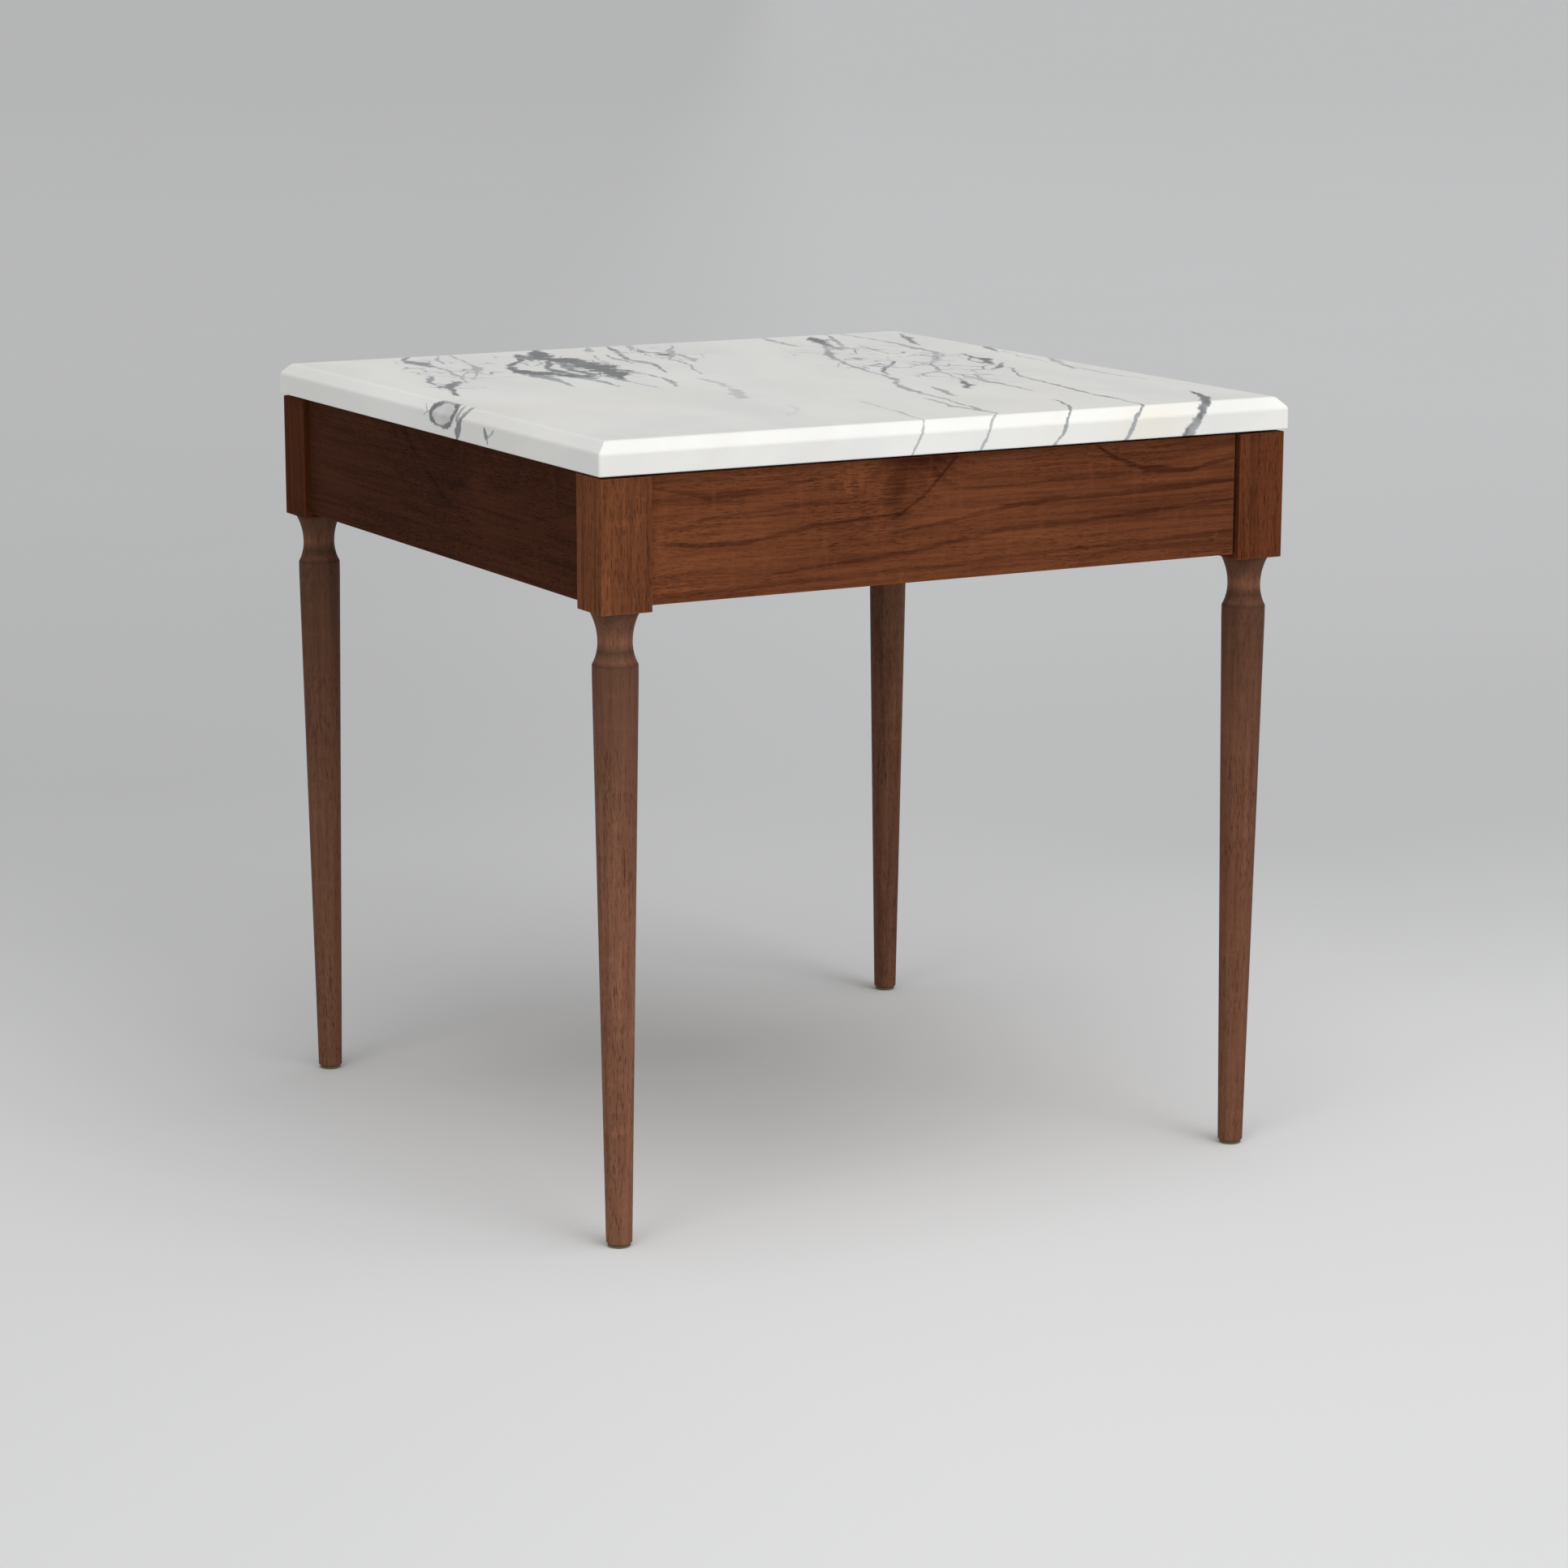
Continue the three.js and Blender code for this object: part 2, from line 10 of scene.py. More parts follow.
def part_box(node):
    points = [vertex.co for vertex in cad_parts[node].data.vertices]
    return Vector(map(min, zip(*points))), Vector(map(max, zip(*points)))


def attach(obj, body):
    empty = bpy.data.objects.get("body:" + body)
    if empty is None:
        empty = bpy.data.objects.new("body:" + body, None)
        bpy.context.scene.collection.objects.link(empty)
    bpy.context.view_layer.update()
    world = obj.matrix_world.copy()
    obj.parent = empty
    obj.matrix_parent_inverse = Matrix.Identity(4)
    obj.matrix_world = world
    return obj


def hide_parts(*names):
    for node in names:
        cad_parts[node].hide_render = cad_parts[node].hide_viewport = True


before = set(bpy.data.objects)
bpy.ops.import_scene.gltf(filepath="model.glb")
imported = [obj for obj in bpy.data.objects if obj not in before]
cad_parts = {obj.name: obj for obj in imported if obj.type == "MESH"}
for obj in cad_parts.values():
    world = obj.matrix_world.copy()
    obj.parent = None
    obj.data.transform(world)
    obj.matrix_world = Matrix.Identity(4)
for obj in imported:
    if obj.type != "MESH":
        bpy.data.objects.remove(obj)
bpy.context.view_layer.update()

MM = 0.001

CORNERS = ("front_left", "front_right", "rear_left", "rear_right")
SIDES = ("left", "right")
ENDS = ("front", "rear")

# ---- Stage ----

# The camera, as fitted to the photograph: place in metres, angles in degrees, lens and sensor in millimetres
CAMERA_PLACE = Vector((-1.4648, -2.6733, 0.8974))
CAMERA_AZIMUTH = -28.969
CAMERA_PITCH = 11.965
CAMERA_ROLL = 0.097
CAMERA_LENS = 94.31
SENSOR = 36.0

FLOOR_RADIUS = 60.0
FLOOR_SIDES = 96
WORLD_COLOUR = (0.99, 0.995, 1.0)
WORLD_STRENGTH = 0.31

# Each soft light: degrees right of the drawer's middle, degrees up, angle across, strength, colour
LIGHTS = {
    "overhead": (4, 71, 68, 1.74, (1.0, 1.0, 1.0)),
    "key": (15, 30, 36, 0.70, (1.0, 0.995, 0.985)),
    "fill": (-58, 24, 30, 0.50, (1.0, 0.995, 0.985)),
}


def make_camera():
    camera = bpy.data.objects.new("camera", bpy.data.cameras.new("camera"))
    camera.data.sensor_width = SENSOR
    camera.data.lens = CAMERA_LENS
    camera.data.clip_end = 4 * FLOOR_RADIUS
    turn = Matrix.Rotation(math.radians(CAMERA_AZIMUTH), 4, "Z")
    pitch = Matrix.Rotation(math.radians(90 - CAMERA_PITCH), 4, "X")
    roll = Matrix.Rotation(math.radians(CAMERA_ROLL), 4, "Z")
    camera.matrix_world = Matrix.Translation(CAMERA_PLACE) @ turn @ pitch @ roll
    bpy.context.scene.collection.objects.link(camera)
    bpy.context.scene.camera = camera


def make_light(name, right, up, across, strength, colour):
    data = bpy.data.lights.new(name, "SUN")
    data.angle = math.radians(across)
    data.energy = strength
    data.color = colour
    light = bpy.data.objects.new(name, data)
    light.rotation_euler = (math.radians(90 - up), 0, math.radians(right))
    bpy.context.scene.collection.objects.link(light)


def make_world():
    world = bpy.data.worlds.new("studio")
    world.use_nodes = True
    background = world.node_tree.nodes["Background"]
    background.inputs["Color"].default_value = (*WORLD_COLOUR, 1)
    background.inputs["Strength"].default_value = WORLD_STRENGTH
    bpy.context.scene.world = world
    bpy.context.scene.view_settings.view_transform = "Standard"


# ---- Node helper ----

# Drawn lines: how far from the middle they reach and their greatest half width, in millimetres,
# the shares of its half width between which a line fades, and the most stops that one ramp holds
DRAWN_REACH = 300
DRAWN_WIDEST = 20
LINE_FADE = (1.35, 0.45)
MOST_STOPS = 32


def shared_tracks(lines, gap):
    """Sorts lines into tracks, in each of which the lines follow one another."""
    tracks = []
    for line in sorted(lines, key=lambda line: line[1][0][0]):
        for track in tracks:
            stops = sum(len(points) + 2 for _, points in [*track, line])
            if track[-1][1][-1][0] + gap < line[1][0][0] and stops <= MOST_STOPS:
                track.append(line)
                break
        else:
            tracks.append([line])
    return tracks


def greys(pairs, low=0.0, high=1.0):
    """Ramp stops of plain shades, from (value, shade) pairs whose values run from low to high."""
    return [((value - low) / (high - low), (shade,) * 3) for value, shade in pairs]


class Graph:
    """A material's node tree, with a short call for each kind of node."""

    def __init__(self, name):
        self.material = bpy.data.materials.new(name)
        self.material.use_nodes = True
        tree = self.material.node_tree
        self.nodes, self.links = tree.nodes, tree.links
        self.nodes.clear()
        self.shader = self.nodes.new("ShaderNodeBsdfPrincipled")
        output = self.nodes.new("ShaderNodeOutputMaterial")
        self.links.new(self.shader.outputs["BSDF"], output.inputs["Surface"])
        self.place = self.nodes.new("ShaderNodeTexCoord").outputs["Object"]

    def feed(self, socket, value):
        """Links an output to a socket, or sets the socket to a plain value."""
        if isinstance(value, bpy.types.NodeSocket):
            self.links.new(value, socket)
        elif value is not None:
            socket.default_value = value

    def math(self, operation, *values, clamp=False):
        node = self.nodes.new("ShaderNodeMath")
        node.operation = operation
        node.use_clamp = clamp
        for socket, value in zip(node.inputs, values):
            self.feed(socket, value)
        return node.outputs[0]

    def add(self, a, b):
        return self.math("ADD", a, b)

    def less(self, a, b):
        return self.math("SUBTRACT", a, b)

    def times(self, a, b):
        return self.math("MULTIPLY", a, b)

    def split(self, vector):
        node = self.nodes.new("ShaderNodeSeparateXYZ")
        self.feed(node.inputs[0], vector)
        return node.outputs[0], node.outputs[1], node.outputs[2]

    def join(self, *values):
        node = self.nodes.new("ShaderNodeCombineXYZ")
        for socket, value in zip(node.inputs, values):
            self.feed(socket, value)
        return node.outputs[0]

    def noise(self, vector, scale, detail=2.0, roughness=0.5, distortion=0.0):
        """A noise between 0 and 1, around 0.5, with scale cells to one unit of the vector."""
        node = self.nodes.new("ShaderNodeTexNoise")
        self.feed(node.inputs["Vector"], vector)
        node.inputs["Scale"].default_value = scale
        node.inputs["Detail"].default_value = detail
        node.inputs["Roughness"].default_value = roughness
        node.inputs["Distortion"].default_value = distortion
        return node.outputs["Fac"]

    def wander(self, vector, scale, reach, detail=2.0):
        """A noise between about -reach and reach."""
        return self.times(self.less(self.noise(vector, scale, detail), 0.5), 2.0 * reach)

    def fibres(self, along, v, w, seed, length, fineness, detail):
        """A noise drawn out along the grain. length and fineness are its scales along and across."""
        drawn_out = self.math("MULTIPLY_ADD", along, length, seed)
        place = self.join(drawn_out, self.times(v, fineness), self.times(w, fineness))
        return self.noise(place, 1, detail, 0.6)

    def edge_distance(self, low, high):
        """The distance from a place on a box's face to the nearest edge of that face."""
        depths = []
        for place, near, far in zip(self.split(self.place), low, high):
            depths.append(self.math("MINIMUM", self.less(place, near), self.less(far, place)))
        most = self.math("MAXIMUM", self.math("MAXIMUM", depths[0], depths[1]), depths[2])
        least = self.math("MINIMUM", self.math("MINIMUM", depths[0], depths[1]), depths[2])
        total = self.add(self.add(depths[0], depths[1]), depths[2])
        return self.less(self.less(total, most), least)

    def cracks(self, vector, scale, randomness=1.0):
        """The distance to the nearest edge between random cells."""
        node = self.nodes.new("ShaderNodeTexVoronoi")
        node.feature = "DISTANCE_TO_EDGE"
        self.feed(node.inputs["Vector"], vector)
        node.inputs["Scale"].default_value = scale
        node.inputs["Randomness"].default_value = randomness
        return node.outputs["Distance"]

    def fade(self, value, low, high, to_low=0.0, to_high=1.0):
        """A smooth change from to_low at low to to_high at high."""
        node = self.nodes.new("ShaderNodeMapRange")
        node.interpolation_type = "SMOOTHSTEP"
        for socket, number in zip(node.inputs, (value, low, high, to_low, to_high)):
            self.feed(socket, number)
        return node.outputs[0]

    def ramp(self, value, stops, interpolation="LINEAR"):
        """A colour ramp. Each stop is (position, (red, green, blue))."""
        node = self.nodes.new("ShaderNodeValToRGB")
        node.color_ramp.interpolation = interpolation
        elements = node.color_ramp.elements
        elements.remove(elements[1])
        elements[0].position = stops[0][0]
        elements[0].color = (*stops[0][1], 1.0)
        for position, colour in stops[1:]:
            elements.new(position).color = (*colour, 1.0)
        self.feed(node.inputs[0], value)
        return node.outputs["Color"]

    def mix(self, share, a, b, blend="MIX"):
        node = self.nodes.new("ShaderNodeMix")
        node.data_type = "RGBA"
        node.blend_type = blend
        self.feed(node.inputs[0], share)
        self.feed(node.inputs[6], a if isinstance(a, bpy.types.NodeSocket) else (*a, 1.0))
        self.feed(node.inputs[7], b if isinstance(b, bpy.types.NodeSocket) else (*b, 1.0))
        return node.outputs[2]

    def bump(self, height, distance, strength=1.0):
        node = self.nodes.new("ShaderNodeBump")
        node.inputs["Strength"].default_value = strength
        node.inputs["Distance"].default_value = distance
        self.feed(node.inputs["Height"], height)
        self.links.new(node.outputs[0], self.shader.inputs["Normal"])

    def spread(self, value, low, high):
        """A straight change from 0 at low to 1 at high."""
        node = self.nodes.new("ShaderNodeMapRange")
        for socket, number in zip(node.inputs, (value, low, high)):
            self.feed(socket, number)
        return node.outputs[0]

    def drawn(self, along, across, lines, gap, ragged):
        """How strongly drawn lines show at a place.

        A line is (strength, points), and a point is (along, across, half width), in millimetres.
        Lines that follow one another at least a gap apart share a ramp. ragged frays their edges.
        """
        shown = 0.0
        for track in shared_tracks(lines, gap):
            first = track[0][1][0][0] - gap / 2
            last = track[-1][1][-1][0] + gap / 2
            stops = []
            for strength, points in track:
                start, end = points[0], points[-1]
                course = [(start[0] - gap / 2, start[1], start[2], 0.0)]
                course += [(*point, strength) for point in points]
                course += [(end[0] + gap / 2, end[1], end[2], 0.0)]
                for place, middle, width, shade in course:
                    colour = ((middle + DRAWN_REACH) / (2 * DRAWN_REACH), width / DRAWN_WIDEST, shade)
                    stops.append(((place - first) / (last - first), colour))
            share = self.spread(along, first * MM, last * MM)
            middle, width, shade = self.split(self.ramp(share, stops))
            middle = self.math("MULTIPLY_ADD", middle, 2 * DRAWN_REACH * MM, -DRAWN_REACH * MM)
            apart = self.math("ABSOLUTE", self.less(across, middle))
            apart = self.math("DIVIDE", apart, self.times(width, DRAWN_WIDEST * MM))
            line = self.times(self.fade(self.add(apart, ragged), *LINE_FADE), shade)
            shown = self.math("MAXIMUM", line, shown)
        return shown


# ---- Pieces ----

# The least turns that make an edge to ease and an edge to keep crisp, and the most that still counts as flat
EDGE_ANGLE = math.radians(30)
CREASE_ANGLE = math.radians(40)
FLAT_ANGLE = math.radians(1)
WELD_DISTANCE = 0.001 * MM


def dress(node, material):
    """Gives a CAD node or a piece a material."""
    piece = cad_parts[node] if isinstance(node, str) else node
    piece.data.materials.clear()
    piece.data.materials.append(material)


def soften(node, width):
    """Eases the sharp edges of a CAD node that stays as it is."""
    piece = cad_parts[node]
    weld = piece.modifiers.new("weld", "WELD")
    weld.merge_threshold = WELD_DISTANCE
    bevel = piece.modifiers.new("ease", "BEVEL")
    bevel.width = width
    bevel.segments = 2
    bevel.limit_method = "ANGLE"
    bevel.angle_limit = EDGE_ANGLE


def add_piece(name, mesh, node, body, material, sharp=CREASE_ANGLE):
    """Finishes a piece that stands for a CAD node. Edges that turn more than sharp stay crisp."""
    data = bpy.data.meshes.new(name)
    bmesh.ops.recalc_face_normals(mesh, faces=mesh.faces)
    mesh.to_mesh(data)
    mesh.free()
    data.shade_smooth()
    data.set_sharp_from_angle(angle=sharp)
    piece = bpy.data.objects.new(name, data)
    bpy.context.scene.collection.objects.link(piece)
    weighted = piece.modifiers.new("weighted_normals", "WEIGHTED_NORMAL")
    weighted.keep_sharp = True
    dress(piece, material)
    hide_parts(node)
    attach(piece, body)
    return piece


def eased(node, body, material, width, segments=3):
    """A copy of a CAD node with its sharp edges rounded over."""
    mesh = bmesh.new()
    mesh.from_mesh(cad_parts[node].data)
    bmesh.ops.remove_doubles(mesh, verts=mesh.verts, dist=WELD_DISTANCE)
    bmesh.ops.dissolve_limit(mesh, angle_limit=FLAT_ANGLE, verts=mesh.verts, edges=mesh.edges)
    sharp = [edge for edge in mesh.edges if edge.calc_face_angle(0.0) > EDGE_ANGLE]
    bmesh.ops.bevel(
        mesh,
        geom=sharp,
        offset=width,
        offset_type="OFFSET",
        segments=segments,
        profile=0.5,
        affect="EDGES",
        clamp_overlap=True,
    )
    return add_piece(f"{node}_eased", mesh, node, body, material)


# ---- Marble slab ----

SLAB_CHAMFER = 7.8 * MM
SLAB_CORNER = 2.5 * MM
SLAB_ARRIS = 0.6 * MM
SLAB_SOFTNESS = 4.0 * MM
SLAB_TIGHTEST = 0.4 * MM
CORNER_STEPS = 8
ROUND_STEPS = 4


def rounded_turn(before, corner, after, radius, steps):
    """Points of an arc that rounds a corner of an outline."""
    first = (before - corner).normalized()
    second = (after - corner).normalized()
    half = first.angle(second) / 2
    back = radius / math.tan(half)
    start, end = corner + first * back, corner + second * back
    centre = corner + (first + second).normalized() * (radius / math.sin(half))
    arc = []
    for step in range(steps + 1):
        point = start.lerp(end, step / steps)
        arc.append(centre + (point - centre).normalized() * radius)
    return arc


def slab_outline(low, high):
    """The slab's edge from below to above, as (inset, height) points with softened corners."""
    corners = [
        Vector((3 * SLAB_CHAMFER, low.z)),
        Vector((SLAB_ARRIS, low.z)),
        Vector((0, low.z + SLAB_ARRIS)),
        Vector((0, high.z - SLAB_CHAMFER)),
        Vector((SLAB_CHAMFER, high.z)),
        Vector((3 * SLAB_CHAMFER, high.z)),
    ]
    radii = (0, SLAB_ARRIS / 2, SLAB_ARRIS / 2, SLAB_SOFTNESS, SLAB_SOFTNESS, 0)
    outline = []
    for before, corner, after, radius in zip(corners, corners[1:], corners[2:], radii[1:]):
        outline += rounded_turn(before, corner, after, radius, ROUND_STEPS)
    return outline


def make_slab(material):
    """The slab as rings of its outline, from below to above, with its upright corners rounded."""
    low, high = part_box("marble_top")
    mesh = bmesh.new()
    rings = []
    for inset, height in slab_outline(low, high):
        radius = max(SLAB_CORNER - inset, SLAB_TIGHTEST)
        x, y = high.x - inset - radius, high.y - inset - radius
        ring = []
        for quarter, (cx, cy) in enumerate(((x, y), (-x, y), (-x, -y), (x, -y))):
            for step in range(CORNER_STEPS + 1):
                angle = math.radians(90) * (quarter + step / CORNER_STEPS)
                place = (cx + radius * math.cos(angle), cy + radius * math.sin(angle), height)
                ring.append(mesh.verts.new(place))
        rings.append(ring)
    for lower, upper in zip(rings, rings[1:]):
        for i in range(len(lower)):
            j = (i + 1) % len(lower)
            mesh.faces.new((lower[i], lower[j], upper[j], upper[i]))
    mesh.faces.new(rings[0])
    mesh.faces.new(rings[-1])
    add_piece("marble_slab", mesh, "marble_top", "frame", material)


# Veins as (strength, points), with points of (y, x, half width) in millimetres, from front to back
VEINS = (
    (0.42, ((-277, -27, 1.0), (-235, -19, 1.2), (-200, -14, 1.1), (-157, -9, 0.7))),
    (0.55, ((-277, 29, 1.2), (-262, 38, 1.3), (-240, 40, 1.6), (-190, 46, 1.2), (-120, 60, 1.6))),
    (0.42, ((-250, 38, 1.8), (-215, 33, 2.4), (-165, 40, 1.0))),
    (0.66, ((-277, 91, 1.2), (-262, 100, 1.3), (-245, 109, 1.4), (-215, 118, 0.9))),
    (0.66, ((-277, 149, 1.5), (-262, 157, 1.6), (-190, 163, 1.7), (-70, 179, 1.7), (-20, 200, 1.2))),
    (0.95, ((-277, 203, 4.0), (-262, 213, 3.8), (-245, 222, 2.8), (-215, 234, 1.2))),
    (0.50, ((-135, 55, 3.0), (-90, 63, 3.2), (-50, 83, 2.6), (0, 91, 1.6), (75, 107, 1.8), (100, 114, 3.0))),
    (0.58, ((90, 111, 2.0), (130, 127, 3.2), (160, 142, 2.2), (195, 162, 3.6))),
    (0.92, ((160, 154, 2.5), (200, 164, 4.5), (230, 173, 7.5), (250, 179, 3.0))),
    (0.74, ((-14, 95, 0.8), (8, 105, 1.7), (32, 121, 4.8), (48, 136, 2.6), (62, 147, 1.0))),
    (
        0.50,
        ((-90, 119, 1.4), (-20, 140, 1.3), (35, 163, 1.8), (57, 181, 4.6), (110, 212, 2.4), (140, 213, 4.0)),
    ),
    (0.50, ((135, 212, 3.4), (175, 216, 1.8), (262, 215, 1.2))),
    (0.84, ((-118, 102, 2.2), (-104, 111, 4.8), (-90, 118, 2.8), (-78, 121, 1.0))),
    (0.55, ((-155, 134, 1.0), (-130, 136, 1.4), (-88, 138, 3.2), (-60, 141, 1.5), (-35, 142, 0.8))),
    (0.55, ((-155, 67, 1.6), (-130, 76, 2.6), (-98, 84, 1.4))),
    (0.80, ((-20, 186, 1.2), (-6, 200, 3.6), (14, 215, 1.4))),
    (0.88, ((10, 203, 2.4), (28, 210, 4.2), (48, 219, 4.4), (60, 215, 2.2), (84, 221, 0.9))),
    (0.60, ((20, 201, 1.8), (42, 204, 1.5), (62, 214, 1.8))),
    (0.74, ((163, 227, 1.0), (190, 236, 3.2), (212, 246, 3.8), (242, 258, 1.6))),
    (0.70, ((90, 256, 1.6), (112, 263, 4.2), (132, 269, 2.4))),
    (0.48, ((-42, 243, 1.4), (-4, 254, 4.2), (34, 269, 1.8))),
    (0.32, ((-130, 249, 1.4), (-90, 246, 1.4), (0, 249, 1.2), (55, 252, 1.6), (90, 262, 1.2))),
    (0.50, ((140, 167, 2.0), (165, 162, 2.6), (205, 177, 3.0), (240, 192, 2.0), (266, 202, 1.4))),
    (0.40, ((200, 137, 2.0), (236, 138, 4.4), (268, 143, 2.0))),
    (0.50, ((58, -24, 0.9), (115, -5, 1.2), (160, 2, 1.7), (190, 18, 2.4), (207, 26, 3.6), (248, 50, 0.9))),
    (0.46, ((135, 11, 1.5), (152, 17, 3.2), (200, 24, 1.8))),
    (
        0.66,
        ((78, -44, 0.9), (112, -33, 1.5), (142, -27, 4.6), (170, -31, 2.0), (215, -14, 3.4), (266, 0, 1.6)),
    ),
    (0.58, ((150, -37, 2.6), (182, -37, 2.0), (207, -28, 1.5))),
    (0.36, ((228, 3, 1.6), (266, 20, 4.4))),
    (0.40, ((238, -27, 3.8), (268, -17, 2.2))),
    (0.50, ((145, -58, 1.0), (185, -50, 1.6), (207, -40, 1.2))),
    (1.30, ((56, -94, 1.6), (80, -86, 9.0), (110, -77, 13.0), (150, -75, 12.0), (200, -77, 12.0))),
    (1.30, ((190, -78, 11.0), (215, -84, 10.0), (235, -76, 8.5), (268, -61, 6.0))),
    (0.95, ((196, -82, 7.0), (222, -93, 7.0), (244, -89, 3.0))),
    (1.05, ((66, -112, 4.0), (88, -114, 16.0), (104, -126, 13.0), (126, -138, 9.0), (150, -137, 4.0))),
    (0.95, ((146, -138, 4.0), (175, -128, 4.0), (198, -111, 3.2), (222, -97, 3.0))),
    (0.80, ((96, -113, 6.0), (122, -114, 6.4), (145, -109, 3.0), (190, -90, 3.2))),
    (0.80, ((90, -100, 8.0), (125, -98, 3.4), (160, -90, 3.0))),
    (0.62, ((22, -150, 0.8), (50, -144, 2.4), (78, -140, 4.8), (104, -141, 5.0))),
    (0.62, ((12, -119, 0.8), (40, -116, 2.6), (72, -118, 6.0))),
    (0.58, ((-6, -96, 0.9), (38, -98, 1.5), (78, -96, 3.2))),
    (0.64, ((-8, -80, 1.4), (8, -73, 2.4), (42, -65, 2.0), (76, -64, 1.6), (112, -67, 3.0))),
    (0.50, ((84, -206, 0.8), (118, -196, 1.5), (170, -184, 1.8), (206, -185, 3.4))),
    (0.70, ((196, -186, 3.0), (222, -184, 7.2), (244, -186, 3.0), (268, -170, 1.6))),
    (0.45, ((104, -191, 1.0), (140, -173, 1.2), (166, -160, 4.4), (192, -153, 1.8), (266, -137, 1.5))),
    (0.45, ((212, -169, 1.4), (240, -159, 2.0), (266, -147, 1.3))),
    (0.80, ((13, -246, 2.2), (34, -240, 2.4), (60, -231, 4.4), (78, -220, 9.0), (96, -207, 2.2))),
    (0.66, ((56, -235, 2.0), (94, -233, 2.0), (116, -223, 3.2), (134, -213, 1.6))),
    (0.26, ((-98, -74, 4.5), (-74, -63, 7.0), (-40, -50, 3.0), (-8, -42, 3.6), (30, -42, 1.2))),
    (0.15, ((-205, -95, 2.5), (-180, -74, 2.2), (-156, -67, 2.6))),
)
# The least distance between veins that share a ramp, and how far a vein leans sideways as it goes down
VEIN_GAP = 14
VEIN_LEAN = 0.62

# Marks on the left edge of the slab, with points of (height from its top, y, half width) in millimetres
EDGE_MARKS = (
    (0.85, ((-24, -51, 1.2), (-16, -53, 3.4), (-9, -58, 3.0), (2, -62, 1.6))),
    (0.70, ((-10, -53, 1.8), (-3, -50, 2.4), (2, -50, 1.2))),
    (0.75, ((-20, -103, 1.4), (-15, -101, 3.4), (-10, -98, 1.8))),
    (0.42, ((-16, -104, 1.2), (-13, -109, 2.0), (-10, -113, 1.4))),
    (0.45, ((-11, 4, 0.8), (-8, -2, 1.6), (-4, 8, 0.8))),
)
MARK_GAP = 2

# The ring among them, as (y, height from the top), and the warm stain on the front edge, as (x, y)
RING_PLACE = (-25 * MM, -7.5 * MM)
RING_SIZE = (19 * MM, 8.5 * MM)
RING_WIDTH = 0.19
RING_STRENGTH = 0.9
RING_FILL = 0.26
RING_FADE = (1.35, 0.25)
STAIN_PLACE = (165 * MM, -276 * MM)
STAIN_SIZE = (55 * MM, 26 * MM)

# Where fine cracks and a cooler shade gather: (x, y), size, strength
CLOUDED = (
    ((-100 * MM, 150 * MM), (75 * MM, 150 * MM), 1.0),
    ((-180 * MM, 170 * MM), (60 * MM, 130 * MM), 0.8),
    ((-222 * MM, 70 * MM), (38 * MM, 62 * MM), 0.9),
    ((150 * MM, 60 * MM), (110 * MM, 250 * MM), 0.75),
    ((10 * MM, 200 * MM), (70 * MM, 100 * MM), 0.6),
)


def soft_spot(g, along, across, place, size):
    """1 at a place, fading to 0 at an ellipse round it."""
    a = g.math("DIVIDE", g.less(along, place[0]), size[0])
    b = g.math("DIVIDE", g.less(across, place[1]), size[1])
    return g.fade(g.math("SQRT", g.math("MULTIPLY_ADD", a, a, g.times(b, b))), 1.0, 0.0)


MARBLE_WHITE = (0.835, 0.832, 0.805)
MARBLE_SHADOW = (0.775, 0.775, 0.76)
MARBLE_WARM = (0.80, 0.75, 0.63)
MARBLE_COOL = (0.66, 0.685, 0.70)
VEIN_DARK = (0.115, 0.118, 0.118)
VEIN_LIGHT = (0.235, 0.242, 0.245)
VEIN_HALO = (0.47, 0.48, 0.49)
MARBLE_GLOSS = 0.3
MARBLE_BUMP = 0.02 * MM


def left_edge_marks(g, y, depth, turned, ragged):
    """The marks and the ring that are drawn on the slab's left edge."""
    mark_y = g.add(y, g.wander(g.place, scale=75, reach=4.0 * MM, detail=3))
    mark_z = g.add(depth, g.wander(turned, scale=75, reach=2.6 * MM, detail=3))
    marks = g.drawn(depth, mark_y, EDGE_MARKS, MARK_GAP, ragged)
    ring_y = g.math("DIVIDE", g.less(mark_y, RING_PLACE[0]), RING_SIZE[0])
    ring_z = g.math("DIVIDE", g.less(mark_z, RING_PLACE[1]), RING_SIZE[1])
    ring = g.math("SQRT", g.math("MULTIPLY_ADD", ring_y, ring_y, g.times(ring_z, ring_z)))
    inside = g.times(g.fade(ring, 1.15, 0.7), RING_FILL)
    line = g.math("DIVIDE", g.math("ABSOLUTE", g.less(ring, 1.0)), RING_WIDTH)
    line = g.times(g.fade(g.add(line, ragged), *RING_FADE), RING_STRENGTH)
    return g.math("MAXIMUM", marks, g.math("MAXIMUM", line, inside))


def fine_cracks(g, across, along, z, vein, cloudy):
    """A net of hair cracks where the stone is clouded, closer beside the veins."""
    cell = g.join(g.times(across, 1.7), along, z)
    wide = g.fade(g.add(g.cracks(cell, scale=30), g.wander(g.place, scale=70, reach=0.07)), 0.050, 0.0)
    small = g.fade(g.add(g.cracks(cell, scale=85), g.wander(g.place, scale=150, reach=0.09)), 0.075, 0.0)
    small = g.times(small, g.fade(vein, 0.0, 0.3, 0.15, 0.8))
    patchy = g.fade(g.noise(g.place, scale=24, detail=2), 0.40, 0.58)
    network = g.times(g.math("MAXIMUM", wide, small), patchy)
    return g.times(network, g.fade(cloudy, 0.10, 0.6, 0.0, 0.80))


